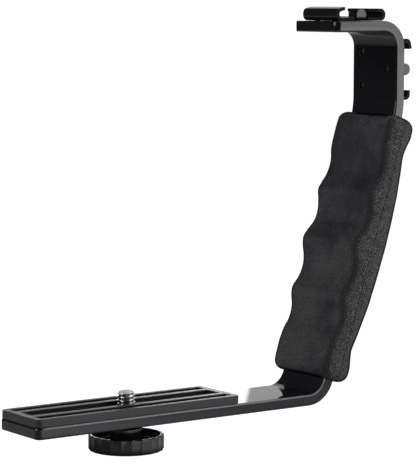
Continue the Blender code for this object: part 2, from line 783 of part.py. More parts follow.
def stop_tab(name):
    """The half-round stop bent up from the floor at the near end."""
    bend = TAB_BEND_INNER_RADIUS + TAB_SHEET
    floor = (SHOE_SHEET - TAB_SHEET) / 2
    root = -SHOE_LENGTH / 2 + TAB_RELIEF_DEPTH + TAB_ROOT_OVERLAP
    run = root + SHOE_LENGTH / 2 - bend
    rise = SHOE_SHEET + TAB_HEIGHT - floor - bend
    segments = (("run", run, 0), ("bend", SQUARE, TAB_BEND_INNER_RADIUS), ("run", rise, 0))
    inner, outer, _ = walk_strip(segments, TAB_SHEET, (0, 0), 0)
    middle = floor + TAB_SHEET / 2
    points = [(root - point.x, middle + point.y) for point in outer + inner[::-1]]
    tab = outline_solid(name, points, TAB_WIDTH / 2)
    standing = Matrix(((0, 0, 1, 0), (1, 0, 0, 0), (0, 1, 0, 0), (0, 0, 0, 1)))
    tab.data.transform(standing)
    top = SHOE_SHEET + TAB_HEIGHT
    radius = TAB_WIDTH / 2 - WELD_DISTANCE

    def at_top_corner(first, second):
        at_top = all(abs(vert.co.z - top) < WELD_DISTANCE for vert in (first, second))
        at_side = all(abs(abs(vert.co.x) - TAB_WIDTH / 2) < WELD_DISTANCE for vert in (first, second))
        return at_top and at_side and first.co.x * second.co.x > 0

    return edit_mesh(tab, lambda bm: rounded_end_corners(bm, at_top_corner, radius))


def shoe_master():
    """The shoe on its seat plane, with its tab, its lip corner and its three countersunk holes."""
    curled_inner, curled_outer = shoe_half(SHOE_CURLED_HEIGHT, SHOE_CURLED_LIP)
    plain_inner, plain_outer = shoe_half(SHOE_PLAIN_HEIGHT, SHOE_PLAIN_LIP)
    mirrored_outer = [(-x, z) for x, z in curled_outer]
    mirrored_inner = [(-x, z) for x, z in curled_inner]
    outline = mirrored_outer[::-1] + [tuple(p) for p in plain_outer]
    outline += [tuple(p) for p in plain_inner[::-1]] + mirrored_inner
    shoe = stand_up(outline_solid("top_shoe", outline, SHOE_LENGTH / 2))
    edge = -SHOE_LENGTH / 2
    relief = TAB_WIDTH / 2 + TAB_RELIEF_WIDTH
    relief_cut = box(
        "tab_relief",
        (-relief, edge - CUT_OVERRUN, -CUT_OVERRUN),
        (relief, edge + TAB_RELIEF_DEPTH, SHOE_SHEET + CUT_OVERRUN),
    )
    cut(shoe, shoe_lip_cut("lip_corner"), relief_cut)
    join(shoe, stop_tab("stop_tab"))
    hole = SHOE_SCREW_DIAMETER / 2 + SHOE_SCREW_CLEARANCE
    mouth = SHOE_SCREW_HEAD_DIAMETER / 2 + SHOE_SCREW_CLEARANCE
    slope = mouth - hole
    profile = [
        (0, SHOE_SHEET + CUT_OVERRUN),
        (mouth, SHOE_SHEET + CUT_OVERRUN),
        (mouth, SHOE_SHEET),
        (hole, SHOE_SHEET - slope),
        (hole, -CUT_OVERRUN),
        (0, -CUT_OVERRUN),
    ]
    drills = []
    for number, (x, y) in enumerate(SHOE_SCREW_SPOTS, 1):
        drill = turned(f"shoe_hole_{number}", profile, SMALL_STEPS)
        drill.data.transform(Matrix.Translation((x, y, 0)))
        drills.append(drill)
    cut(shoe, *drills)
    return shoe


def make_shoes():
    top = shoe_master()
    paint(top, (0.012, 0.012, 0.013), 0.32, 0.0)
    smooth(top)
    side = placed_copy(top, "side_shoe", PARTS)
    top.matrix_world = TOP_SHOE_SEAT
    side.matrix_world = SIDE_SHOE_SEAT
    return [top, side]


def make_shoe_screws():
    """Countersunk screws from inside each shoe, ending just short of the bar's other face."""
    radius = SHOE_SCREW_DIAMETER / 2
    head = SHOE_SCREW_HEAD_DIAMETER / 2
    profile = [
        (0, SHOE_SHEET),
        (head, SHOE_SHEET),
        (radius, SHOE_SHEET - (head - radius)),
        (radius, -SEAT_GAP - BAR_THICKNESS + SHOE_SCREW_END_SINK),
        (0, -SEAT_GAP - BAR_THICKNESS + SHOE_SCREW_END_SINK),
    ]
    screws = []
    for label, seat in (("top", TOP_SHOE_SEAT), ("side", SIDE_SHOE_SEAT)):
        for number, (x, y) in enumerate(SHOE_SCREW_SPOTS, 1):
            name = f"{label}_shoe_screw_{number}"
            screw = placed_copy(screws[0], name, PARTS) if screws else turned(name, profile, SMALL_STEPS)
            screw.matrix_world = seat @ Matrix.Translation((x, y, 0))
            screws.append(screw)
    paint(screws[0], (0.05, 0.05, 0.052), 0.35, 1.0)
    smooth(screws[0])
    return screws


# Assembly


def new_empty(name, place, parent):
    empty = bpy.data.objects.new(name, None)
    PARTS.objects.link(empty)
    empty.location = place
    empty.parent = parent
    return empty


def assemble():
    frame = new_empty("bracket_frame", tuple(-value for value in ORIGIN_IN_BAR), None)
    clamp_axis = new_empty("clamp_axis", (SCREW_PLACE, 0, 0), frame)
    fixed = [make_bar(), make_pad()]
    fixed += [grip_shell("grip_finger_shell", False), grip_shell("grip_palm_shell", True)]
    fixed += make_grip_screws() + make_shoes() + make_shoe_screws()
    for piece in fixed:
        piece.parent = frame
    for piece in (make_camera_screw(), make_washer(), make_knob()):
        piece.parent = clamp_axis
    bpy.context.view_layer.update()


assemble()
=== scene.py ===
"""Camera flash bracket, dressed for the render.

Lengths are in metres. The pieces are drawn in the bar's own frame, whose X runs along the lower arm from its
free end, Y away from the viewer and Z up from the arm's underside. They are then moved into the part's frame.
"""

import math

import bmesh
import bpy
from mathutils import Matrix, Vector


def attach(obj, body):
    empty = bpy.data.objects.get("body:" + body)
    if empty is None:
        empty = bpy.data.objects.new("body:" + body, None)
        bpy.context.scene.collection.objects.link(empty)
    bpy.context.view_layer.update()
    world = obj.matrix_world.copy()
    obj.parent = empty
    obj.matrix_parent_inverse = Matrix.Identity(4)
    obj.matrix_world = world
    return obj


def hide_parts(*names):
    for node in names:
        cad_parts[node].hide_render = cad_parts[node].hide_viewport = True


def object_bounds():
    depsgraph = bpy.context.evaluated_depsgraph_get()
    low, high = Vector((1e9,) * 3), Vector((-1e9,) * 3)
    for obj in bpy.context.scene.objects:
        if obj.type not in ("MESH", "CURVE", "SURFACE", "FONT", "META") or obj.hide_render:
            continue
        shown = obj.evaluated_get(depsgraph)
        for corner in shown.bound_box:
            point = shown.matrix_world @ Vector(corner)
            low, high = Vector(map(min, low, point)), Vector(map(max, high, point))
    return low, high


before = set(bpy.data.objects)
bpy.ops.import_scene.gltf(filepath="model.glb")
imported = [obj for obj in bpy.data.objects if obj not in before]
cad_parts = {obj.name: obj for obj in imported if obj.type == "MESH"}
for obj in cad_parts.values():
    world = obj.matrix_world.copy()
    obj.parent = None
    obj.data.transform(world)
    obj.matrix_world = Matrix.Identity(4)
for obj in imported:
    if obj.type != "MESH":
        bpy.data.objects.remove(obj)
CAD_LOW, CAD_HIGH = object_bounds()

SQUARE = math.radians(90)
LEAN = math.radians(18.5)
SEAT_GAP = 0.0003
REST_GAP = 0.00006
SEAM_GAP = 0.00018
WELD = 0.000001
OVERRUN = 0.002

SCREW_PLACE = 0.0429
SLOT_START, SLOT_END = 0.014, 0.070
NECK_RADIUS = 0.0023
NECK_WAY = NECK_RADIUS + SEAT_GAP
HUB_RADIUS = 0.0055
WASHER_THICKNESS = 0.0012
KNOB_BOTTOM = -0.00965
COLLAR_TOP = -0.0029
COLLAR_WIDTH = 0.0084

BAR_WIDTH = 0.025
BAR_THICKNESS = 0.004
BAR_EDGE = 0.0007
BAR_CORNER = 0.0022
BEND_STEP = math.radians(2)
BAR_RUNS = (
    ("run", 0.113, 0),
    ("bend", SQUARE - LEAN, 0.0072),
    ("run", 0.0959, 0),
    ("bend", LEAN, 0.028),
    ("run", 0.0183, 0),
    ("bend", SQUARE, 0.0055),
    ("run", 0.0222, 0),
)


# Meshes


def register(obj, body, replaced):
    """Moves a piece from the bar's frame to the part's, rides it on its body and lets it stand for a node."""
    obj.data.transform(Matrix.Translation(-ORIGIN_IN_BAR))
    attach(obj, body)
    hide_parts(replaced)


def in_scene(name, data):
    obj = bpy.data.objects.new(name, data)
    bpy.context.scene.collection.objects.link(obj)
    return obj


def scratch(name, bm):
    """An object in the scene that is a piece, or that later becomes part of one."""
    mesh = bpy.data.meshes.new(name)
    bm.to_mesh(mesh)
    bm.free()
    return in_scene(name, mesh)


def bake(obj):
    """Applies the object's modifiers."""
    graph = bpy.context.evaluated_depsgraph_get()
    mesh = bpy.data.meshes.new_from_object(obj.evaluated_get(graph))
    obj.modifiers.clear()
    obj.data = mesh
    return obj


def combine(obj, others, operation):
    for other in others:
        modifier = obj.modifiers.new(other.name, "BOOLEAN")
        modifier.operation = operation
        modifier.solver = "EXACT"
        modifier.object = other
    bpy.context.view_layer.update()
    bake(obj)
    for other in others:
        bpy.data.objects.remove(other, do_unlink=True)
    return obj


def cut(obj, *meshes):
    return combine(obj, [scratch("cutter", bm) for bm in meshes], "DIFFERENCE")


def welded(obj, tidy):
    """Welds what a cut left doubled, and then runs tidy(bm) on the mesh."""
    bm = bmesh.new()
    bm.from_mesh(obj.data)
    bmesh.ops.remove_doubles(bm, verts=bm.verts, dist=WELD)
    tidy(bm)
    bm.to_mesh(obj.data)
    bm.free()
    return obj


def join_flats(bm):
    """Joins level neighbours into whole flat sides."""
    bmesh.ops.dissolve_limit(bm, angle_limit=math.radians(0.2), verts=bm.verts, edges=bm.edges)


def split_sides(bm):
    """Splits the many-sided faces that a cut leaves, so that no sliver stays."""
    bmesh.ops.dissolve_degenerate(bm, dist=WELD, edges=bm.edges)
    many_sided = [face for face in bm.faces if len(face.verts) > 4]
    bmesh.ops.triangulate(bm, faces=many_sided, ngon_method="BEAUTY")


def soften(obj, width, segments, angle):
    """Rounds the edges that are sharper than the angle."""
    rounding = obj.modifiers.new("Edges", "BEVEL")
    rounding.width = width
    rounding.segments = segments
    rounding.limit_method = "ANGLE"
    rounding.angle_limit = math.radians(angle)
    rounding.use_clamp_overlap = True
    return bake(obj)


def shade(obj, angle=40):
    """Smooth shading up to the angle, with the flat sides kept flat."""
    obj.data.shade_smooth()
    obj.data.set_sharp_from_angle(angle=math.radians(angle))
    normals = obj.modifiers.new("Normals", "WEIGHTED_NORMAL")
    normals.keep_sharp = True
    return obj


def loft(rings):
    """A closed mesh through rings of points."""
    bm = bmesh.new()
    rows = [[bm.verts.new(point) for point in ring] for ring in rings]
    size = len(rows[0])
    for lower, upper in zip(rows, rows[1:]):
        for i in range(size):
            j = (i + 1) % size
            bm.faces.new((lower[i], lower[j], upper[j], upper[i]))
    bm.faces.new(rows[0][::-1])
    bm.faces.new(rows[-1])
    bmesh.ops.recalc_face_normals(bm, faces=bm.faces)
    return bm


def extruded(outline, low, high, matrix=None):
    """A closed prism from an outline in local XY, between two heights along local Z."""
    bm = loft([[(x, y, low) for x, y in outline], [(x, y, high) for x, y in outline]])
    if matrix:
        bm.transform(matrix)
    bm.normal_update()
    bmesh.ops.recalc_face_normals(bm, faces=bm.faces)
    return bm


def gathered(meshes):
    """One mesh that holds several separate ones."""
    whole = bmesh.new()
    for bm in meshes:
        mesh = bpy.data.meshes.new("gathered")
        bm.to_mesh(mesh)
        bm.free()
        whole.from_mesh(mesh)
        bpy.data.meshes.remove(mesh)
    return whole


def block(low, high):
    (x0, y0, z0), (x1, y1, z1) = low, high
    return extruded([(x0, y0), (x1, y0), (x1, y1), (x0, y1)], z0, z1)


def lathe(profile, steps, reach=None):
    """A body of revolution about Z. The profile is closed by the axis where it starts and ends on it.

    reach(angle, radius, height) may change a point's radius.
    """
    bm = bmesh.new()
    columns = []
    on_axis = {}
    for step in range(steps):
        angle = math.tau * step / steps
        column = []
        for index, (radius, height) in enumerate(profile):
            if radius == 0:
                if index not in on_axis:
                    on_axis[index] = bm.verts.new((0, 0, height))
                column.append(on_axis[index])
                continue
            if reach:
                radius = reach(angle, radius, height)
            column.append(bm.verts.new((radius * math.cos(angle), radius * math.sin(angle), height)))
        columns.append(column)
    closed = profile[0][0] != 0
    count = len(profile)
    for step in range(steps):
        here, after = columns[step], columns[(step + 1) % steps]
        for i in range(count if closed else count - 1):
            j = (i + 1) % count
            corners = []
            for vert in (here[i], after[i], after[j], here[j]):
                if vert not in corners:
                    corners.append(vert)
            if len(corners) > 2:
                bm.faces.new(corners)
    bmesh.ops.recalc_face_normals(bm, faces=bm.faces)
    return bm


def arc(centre, radius, start, end, count):
    """Points on an arc, both ends included. Angles are in degrees."""
    points = []
    for step in range(count + 1):
        angle = math.radians(start + (end - start) * step / count)
        points.append((centre[0] + radius * math.cos(angle), centre[1] + radius * math.sin(angle)))
    return points


def circle(radius, count=24):
    return arc((0, 0), radius, 0, 360 - 360 / count, count - 1)


def rounded_rectangle(length, width, radius, count=8):
    outline = []
    for turn, (side_x, side_y) in zip((0, 90, 180, 270), ((1, 1), (-1, 1), (-1, -1), (1, -1))):
        centre = (side_x * (length / 2 - radius), side_y * (width / 2 - radius))
        outline += arc(centre, radius, turn, turn + 90, count)
    return outline


def walk_strip(segments, thickness, start, heading, step):
    """Follows straight runs and left-hand bends. Returns each station's place, heading and distance."""
    place = Vector(start)
    gone = 0
    stations = [(place.copy(), heading, gone)]
    for kind, amount, inner_radius in segments:
        if kind == "run":
            place = place + Vector((math.cos(heading), math.sin(heading))) * amount
            gone += amount
            stations.append((place.copy(), heading, gone))
            continue
        radius = inner_radius + thickness / 2
        centre = place + Vector((-math.sin(heading), math.cos(heading))) * radius
        count = math.ceil(amount / step)
        for _ in range(count):
            heading += amount / count
            gone += radius * amount / count
            place = centre + Vector((math.sin(heading), -math.cos(heading))) * radius
            stations.append((place.copy(), heading, gone))
    return stations


BAR_PATH = walk_strip(BAR_RUNS, BAR_THICKNESS, (0, BAR_THICKNESS / 2), 0, BEND_STEP)


def path_after(count):
    """Where the bar's middle line is after its first few runs and bends."""
    return walk_strip(BAR_RUNS[:count], BAR_THICKNESS, (0, BAR_THICKNESS / 2), 0, BEND_STEP)[-1][0]


SLOPE_FOOT = path_after(2)
UPRIGHT_FACE = path_after(5).x + BAR_THICKNESS / 2
TOP_FACE = path_after(7).y + BAR_THICKNESS / 2
GRIP_START = 0.0003
GRIP_LENGTH = 0.0984
GRIP_MIDDLE = GRIP_START + GRIP_LENGTH / 2
ORIGIN_IN_BAR = Vector(
    (SLOPE_FOOT.x + GRIP_MIDDLE * math.sin(LEAN), 0, SLOPE_FOOT.y + GRIP_MIDDLE * math.cos(LEAN))
)
GRIP_SEAT = Matrix.Translation((SLOPE_FOOT.x, 0, SLOPE_FOOT.y)) @ Matrix.Rotation(LEAN, 4, "Y")
TOWARDS_PALM = Matrix.Rotation(SQUARE, 4, "Y")
SHOE_OFFSET = -0.0004
TOP_SHOE_SEAT = Matrix.Translation((0.1370, SHOE_OFFSET, TOP_FACE + SEAT_GAP))
SIDE_SHOE_SEAT = Matrix.Translation(
    (UPRIGHT_FACE + SEAT_GAP, SHOE_OFFSET, TOP_FACE - 0.0176)
) @ Matrix.Rotation(SQUARE, 4, "Y")
SHOE_SCREW_SPOTS = ((-0.0062, 0.0077), (0.0062, 0.0077), (0, -0.0062))
SHOE_HOLE_RADIUS = 0.0014
GRIP_SCREW_PLACES = (0.0300, 0.0690)
GRIP_SCREW_RADIUS = 0.00145
GRIP_SCREW_HEAD = 0.0028
GRIP_SCREW_SEAT = 0.0052
GRIP_SCREW_REACH = 0.0048


# Materials


def new_material(name, colour, roughness, metallic=0):
    material = bpy.data.materials.new(name)
    material.use_nodes = True
    material.diffuse_color = (*colour, 1)
    tree = material.node_tree
    shader = tree.nodes["Principled BSDF"]
    shader.inputs["Base Color"].default_value = (*colour, 1)
    shader.inputs["Roughness"].default_value = roughness
    shader.inputs["Metallic"].default_value = metallic
    return material, tree, shader


def node(tree, kind, **settings):
    made = tree.nodes.new(kind)
    for key, value in settings.items():
        setattr(made, key, value)
    return made


def object_place(tree, stretch=(1, 1, 1)):
    """The object's own coordinates, stretched."""
    place = node(tree, "ShaderNodeTexCoord")
    mapping = node(tree, "ShaderNodeMapping")
    mapping.inputs["Scale"].default_value = stretch
    tree.links.new(place.outputs["Object"], mapping.inputs["Vector"])
    return mapping.outputs["Vector"]


def noise(tree, place, scale, detail=3, rough=0.5):
    made = node(tree, "ShaderNodeTexNoise")
    made.inputs["Scale"].default_value = scale
    made.inputs["Detail"].default_value = detail
    made.inputs["Roughness"].default_value = rough
    tree.links.new(place, made.inputs["Vector"])
    return made.outputs["Fac"]


def edge_distance(tree, place, scale):
    """How far a point is from the border of its cell."""
    made = node(tree, "ShaderNodeTexVoronoi", feature="DISTANCE_TO_EDGE")
    made.inputs["Scale"].default_value = scale
    tree.links.new(place, made.inputs["Vector"])
    return made.outputs["Distance"]


def spread(tree, value, low, high, to_low=0, to_high=1):
    """Maps the range from low to high to another one, and holds its ends outside it."""
    made = node(tree, "ShaderNodeMapRange")
    for socket, number in (("From Min", low), ("From Max", high), ("To Min", to_low), ("To Max", to_high)):
        made.inputs[socket].default_value = number
    tree.links.new(value, made.inputs["Value"])
    return made.outputs["Result"]


def feed(tree, socket, value):
    """Links another socket to this one, or sets a fixed value on it."""
    if isinstance(value, bpy.types.NodeSocket):
        tree.links.new(value, socket)
    elif value is not None:
        socket.default_value = value


def maths(tree, operation, first, second=None):
    made = node(tree, "ShaderNodeMath", operation=operation)
    feed(tree, made.inputs[0], first)
    feed(tree, made.inputs[1], second)
    return made.outputs[0]


def times(tree, first, second):
    return maths(tree, "MULTIPLY", first, second)


def vector_maths(tree, operation, first, second=None, result="Vector"):
    made = node(tree, "ShaderNodeVectorMath", operation=operation)
    feed(tree, made.inputs[0], first)
    feed(tree, made.inputs[1], second)
    return made.outputs[result]


def axes_of(tree, quality):
    """X, Y and Z of the surface's place (Object) or of the way that it faces (Normal)."""
    own = node(tree, "ShaderNodeTexCoord")
    axes = node(tree, "ShaderNodeSeparateXYZ")
    tree.links.new(own.outputs[quality], axes.inputs[0])
    return axes.outputs


def skimmed(tree, low, high, to_low, to_high):
    """A value for surfaces that are seen face on, and another for those that are seen at a shallow angle."""
    weight = node(tree, "ShaderNodeLayerWeight")
    weight.inputs["Blend"].default_value = 0.5
    return spread(tree, weight.outputs["Facing"], low, high, to_low, to_high)


def blend_colours(tree, factor, first, second):
    made = node(tree, "ShaderNodeMix", data_type="RGBA")
    tree.links.new(factor, made.inputs[0])
    for socket, colour in ((made.inputs[6], first), (made.inputs[7], second)):
        feed(tree, socket, (*colour, 1) if isinstance(colour, tuple) else colour)
    return made.outputs[2]


def blend_values(tree, factor, first, second):
    made = node(tree, "ShaderNodeMix", data_type="FLOAT")
    for socket, value in zip(made.inputs, (factor, None, first, second)):
        feed(tree, socket, value)
    return made.outputs[0]


def bump(tree, shader, height, distance, strength=1, under=None):
    made = node(tree, "ShaderNodeBump")
    made.inputs["Strength"].default_value = strength
    made.inputs["Distance"].default_value = distance
    tree.links.new(height, made.inputs["Height"])
    if under:
        tree.links.new(under, made.inputs["Normal"])
    tree.links.new(made.outputs["Normal"], shader.inputs["Normal"])
    return made.outputs["Normal"]


def drive(tree, shader, colour, rough, level=None):
    """Links the colour, the roughness and the strength of the gloss that vary over a surface."""
    for name, value in (("Base Color", colour), ("Roughness", rough), ("Specular IOR Level", level)):
        feed(tree, shader.inputs[name], value)


def edge_mask(tree, radius, low=0.004, high=0.12):
    """Close to 1 along the edges and 0 on the flats."""
    rounded = node(tree, "ShaderNodeBevel", samples=6)
    rounded.inputs["Radius"].default_value = radius
    normal = node(tree, "ShaderNodeNewGeometry").outputs["Normal"]
    alike = vector_maths(tree, "DOT_PRODUCT", rounded.outputs["Normal"], normal, "Value")
    return spread(tree, maths(tree, "SUBTRACT", 1, alike), low, high)


def gloss_paint(name, colour, worn, smoothest, roughest, wear, highlight_below=None):
    """Sprayed paint: a slight ripple, dust specks in the gloss and worn edges.

    highlight_below gives two heights. Long rounded edges that face up get a painted highlight in the worn
    colour, fully under the first height and no more than the other edges' wear over the second. Under the
    first height
    the gloss is also tinted slightly warm: a painted tint of the reflection.
    """
    material, tree, shader = new_material(name, colour, (smoothest + roughest) / 2)
    place = object_place(tree)
    broad = noise(tree, place, 60, 2)
    fine = noise(tree, place, 900, 3)
    patchy = spread(tree, noise(tree, place, 420, 4), 0.42, 0.7, 0, wear)
    wear_and_painted_light = times(tree, edge_mask(tree, 0.0006), patchy)
    dusty = spread(tree, noise(tree, place, 2000, 2), 0.3, 0.7, 0.90, 0.66)
    grey = node(tree, "ShaderNodeCombineColor")
    for channel in grey.inputs:
        tree.links.new(dusty, channel)
    if highlight_below:
        spot = axes_of(tree, "Object")
        facing = axes_of(tree, "Normal")
        low_down = spread(tree, spot["Z"], *highlight_below, 1, 0)
        low_down = times(tree, low_down, spread(tree, spot["X"], -0.1355, -0.1335))
        # Long rounded edges that face up, low on the arm, get a painted highlight in the worn colour.
        painted_highlight_zone = times(tree, low_down, spread(tree, facing["Z"], 0.05, 0.3))
        sideways = maths(tree, "ABSOLUTE", facing["Y"])
        rounding = spread(tree, sideways, 0.12, 0.3)
        rounding = times(tree, rounding, spread(tree, sideways, 0.90, 0.995, 1, 0))
        wear_and_painted_light = maths(tree, "MAXIMUM", wear_and_painted_light, times(tree, painted_highlight_zone, rounding))
        # Low down the gloss is tinted slightly warm: a painted tint of the reflection.
        less_green = times(tree, dusty, spread(tree, low_down, 0, 1, 1, 0.94))
        tree.links.new(less_green, grey.inputs[1])
    rough = spread(tree, times(tree, broad, fine), 0.12, 0.4, smoothest, roughest)
    rough = maths(tree, "ADD", rough, times(tree, wear_and_painted_light, 0.12))
    varied = blend_colours(tree, broad, colour, tuple(c * 1.5 for c in colour))
    drive(tree, shader, blend_colours(tree, wear_and_painted_light, varied, worn), rough)
    ripple = bump(tree, shader, noise(tree, place, 240, 1), 0.00001, 0.5)
    bump(tree, shader, noise(tree, place, 2600, 2), 0.000003, 0.5, ripple)
    tree.links.new(grey.outputs[0], shader.inputs["Specular Tint"])
    return material


# worn is the colour of worn edges, and also of the painted highlight along the lower arm's upper edges.
PAINT = gloss_paint(
    "bar_black_paint",
    colour=(0.009, 0.009, 0.011),
    worn=(0.25, 0.25, 0.25),
    smoothest=0.02,
    roughest=0.055,
    wear=0.25,
    highlight_below=(-0.038, -0.030),
)
SHOE_PAINT = gloss_paint("shoe_black_paint", (0.008, 0.008, 0.009), (0.10, 0.10, 0.105), 0.10, 0.22, 0.7)
SHEARED = gloss_paint("shoe_sheared_edge", (0.006, 0.006, 0.007), (0.05, 0.05, 0.052), 0.45, 0.65, 0.5)
SHEARED.node_tree.nodes["Principled BSDF"].inputs["Specular IOR Level"].default_value = 0.12


def grained_rubber():
    """Firm moulded rubber: satin where the fingers go, leather grain on the flanks and the palm side.
    It is painted darker along the corners between the finger side and the flanks, on the palm side, towards
    its outline where it is seen at a shallow angle, and in the cracks of the grain: painted shade.
    """
    material, tree, shader = new_material("grip_moulded_rubber", (0.03, 0.03, 0.032), 0.5)
    place = object_place(tree)
    facing = axes_of(tree, "Normal")
    facing_fingers = spread(tree, facing["X"], -0.80, -0.45, 1, 0)
    sideways = maths(tree, "ABSOLUTE", facing["Y"])
    # A band along the corners between the finger side and the flanks, painted darker below as painted shade.
    corner = spread(tree, sideways, 0.22, 0.55)
    corner = times(tree, corner, spread(tree, sideways, 0.78, 0.97, 1, 0))
    corner = times(tree, corner, spread(tree, facing["X"], -0.4, -0.1, 1, 0))
    # outline grows where the grip is seen at a shallow angle; it is painted darker and less glossy there as
    # painted shade.
    outline = skimmed(tree, 0.50, 0.68, 0, 1)

    unrest = noise(tree, place, 500, 2)
    warp = node(tree, "ShaderNodeCombineXYZ")
    for axis in warp.inputs:
        tree.links.new(unrest, axis)
    warped = vector_maths(tree, "MULTIPLY", warp.outputs[0], (0.0009, 0.0009, 0.0009))
    cracks = edge_distance(tree, vector_maths(tree, "ADD", warped, place), 1150)
    pebbles = spread(tree, cracks, 0, 0.30)
    pores = noise(tree, place, 3800, 2)
    grain = maths(tree, "ADD", pebbles, times(tree, pores, 0.35))
    amount = spread(tree, facing_fingers, 0, 1, 1, 0.45)
    bump(tree, shader, times(tree, grain, amount), 0.00025, 0.95)

    mottled = noise(tree, place, 90, 3)
    clouds = spread(tree, noise(tree, place, 45, 4, 0.6), 0.41, 0.59)
    flank = blend_colours(tree, mottled, (0.054, 0.054, 0.055), (0.076, 0.076, 0.077))
    front = blend_colours(tree, clouds, (0.0150, 0.0135, 0.0235), (0.0540, 0.0530, 0.0565))
    colour = blend_colours(tree, facing_fingers, flank, front)
    speckle = spread(tree, noise(tree, place, 1900, 2, 0.8), 0.41, 0.59, 0.05, 2.5)
    fleck = spread(tree, noise(tree, place, 1500, 2, 0.75), 0.34, 0.66, 0.52, 1.5)
    tone = blend_values(tree, facing_fingers, speckle, fleck)
    # Painted shade: darker along the corners, on the palm side, towards the outline and in the cracks of the
    # grain.
    tone = times(tree, tone, spread(tree, corner, 0, 1, 1, 0.42))
    tone = times(tree, tone, spread(tree, facing["X"], 0.1, 0.6, 1, 0.5))
    tone = times(tree, tone, spread(tree, outline, 0, 1, 1, 0.05))
    tone = times(tree, tone, spread(tree, pebbles, 0, 0.5, 0.55, 1))
    dark = node(tree, "ShaderNodeVectorMath", operation="SCALE")
    tree.links.new(colour, dark.inputs[0])
    tree.links.new(tone, dark.inputs["Scale"])

    rough = spread(tree, facing_fingers, 0, 1, 0.48, 0.56)
    rough = maths(tree, "ADD", rough, times(tree, corner, 0.12))
    rough = maths(tree, "ADD", rough, spread(tree, mottled, 0.3, 0.7, -0.04, 0.05))
    drive(tree, shader, dark.outputs[0], rough, spread(tree, outline, 0, 1, 0.32, 0.02))
    return material


GRIP = grained_rubber()


def pad_rubber(name, dark, light, worn_share, level, polish):
    """Ribbed rubber. Its top gets shinier towards the grip by the polish share."""
    material, tree, shader = new_material(name, light, 0.6)
    place = object_place(tree)
    worn = times(tree, edge_mask(tree, 0.0005, 0.01, 0.2), worn_share)
    plain = blend_colours(tree, noise(tree, place, 140, 3), dark, light)
    colour = blend_colours(tree, worn, plain, (0.06, 0.06, 0.06))
    inward = spread(tree, axes_of(tree, "Object")["X"], -0.110, -0.060, 0, polish)
    upward = spread(tree, axes_of(tree, "Normal")["Z"], 0.8, 0.98)
    polished = times(tree, inward, upward)
    rough = spread(tree, noise(tree, place, 700, 4), 0.3, 0.7, 0.40, 0.52)
    rough = maths(tree, "SUBTRACT", rough, times(tree, polished, 0.25))
    drive(tree, shader, colour, rough, spread(tree, polished, 0, 1, level, 1))
    bump(tree, shader, noise(tree, place, 3000, 4, 0.6), 0.00001, 0.6)
    return material


PAD = pad_rubber("pad_ribbed_rubber", (0.019, 0.019, 0.0195), (0.028, 0.028, 0.0285), 0.6, 0.44, 0.6)
# A darker, less glossy copy of the rubber for the hollows: painted shade in the grooves and the channel.
PAD_HOLLOW_SHADE = pad_rubber("pad_hollow_painted_shade", (0.006, 0.006, 0.006), (0.010, 0.010, 0.010), 0.1, 0.12, 0)


def knob_plastic():
    """Moulded plastic with worn edges, dull on its underside and where it is seen at a shallow angle.
    The lighter worn colour is kept off the edges that face down, so that the underside stays dark: painted
    shade.
    """
    material, tree, shader = new_material("knob_moulded_plastic", (0.018, 0.018, 0.019), 0.35)
    place = object_place(tree)
    facing = axes_of(tree, "Normal")
    patchy = spread(tree, noise(tree, place, 500, 3), 0.4, 0.65, 0, 0.6)
    wear_and_painted_light = times(tree, edge_mask(tree, 0.0005, 0.01, 0.2), patchy)
    # The worn colour is kept off the edges that face down: painted shade under the knob.
    wear_and_painted_light = times(tree, wear_and_painted_light, spread(tree, facing["Z"], -0.3, -0.05))
    plain = blend_colours(tree, noise(tree, place, 160, 3), (0.010, 0.010, 0.011), (0.017, 0.017, 0.018))
    colour = blend_colours(tree, wear_and_painted_light, plain, (0.07, 0.07, 0.07))
    rough = spread(tree, noise(tree, place, 800, 4), 0.3, 0.7, 0.08, 0.15)
    bump(tree, shader, noise(tree, place, 2400, 3), 0.000008, 0.5)
    under = spread(tree, facing["Z"], -0.55, -0.12, 0.15, 1)
    level = times(tree, under, skimmed(tree, 0.55, 0.75, 1, 0.1))
    drive(tree, shader, colour, rough, times(tree, level, 0.5))
    return material


KNOB = knob_plastic()


def turned_metal(name, colour, dark, smoothest, roughest, axis=None):
    """Turned steel with fine rings round its axis and a darker tone in patches.

    axis gives the X place of an upright axis, and the radii between which the painted shade in a thread's
    roots fades.
    """
    material, tree, shader = new_material(name, colour, (smoothest + roughest) / 2, 1)
    place = object_place(tree)
    rings = noise(tree, object_place(tree, (1, 1, 40)), 400, 3)
    patches = spread(tree, noise(tree, place, 500, 3), 0.35, 0.7)
    plain = blend_colours(tree, patches, colour, dark)
    if axis:
        centre, root, crest = axis
        moved = vector_maths(tree, "SUBTRACT", place, (centre, 0, 0))
        level = vector_maths(tree, "MULTIPLY", moved, (1, 1, 0))
        reach = vector_maths(tree, "LENGTH", level, result="Value")
        unshaded = spread(tree, reach, root, crest)
        # The thread's roots are painted darker: painted shade.
        plain = blend_colours(tree, unshaded, tuple(c * 0.2 for c in dark), plain)
    drive(tree, shader, plain, spread(tree, rings, 0.3, 0.7, smoothest, roughest))
    bump(tree, shader, rings, 0.000012, 0.5)
    return material


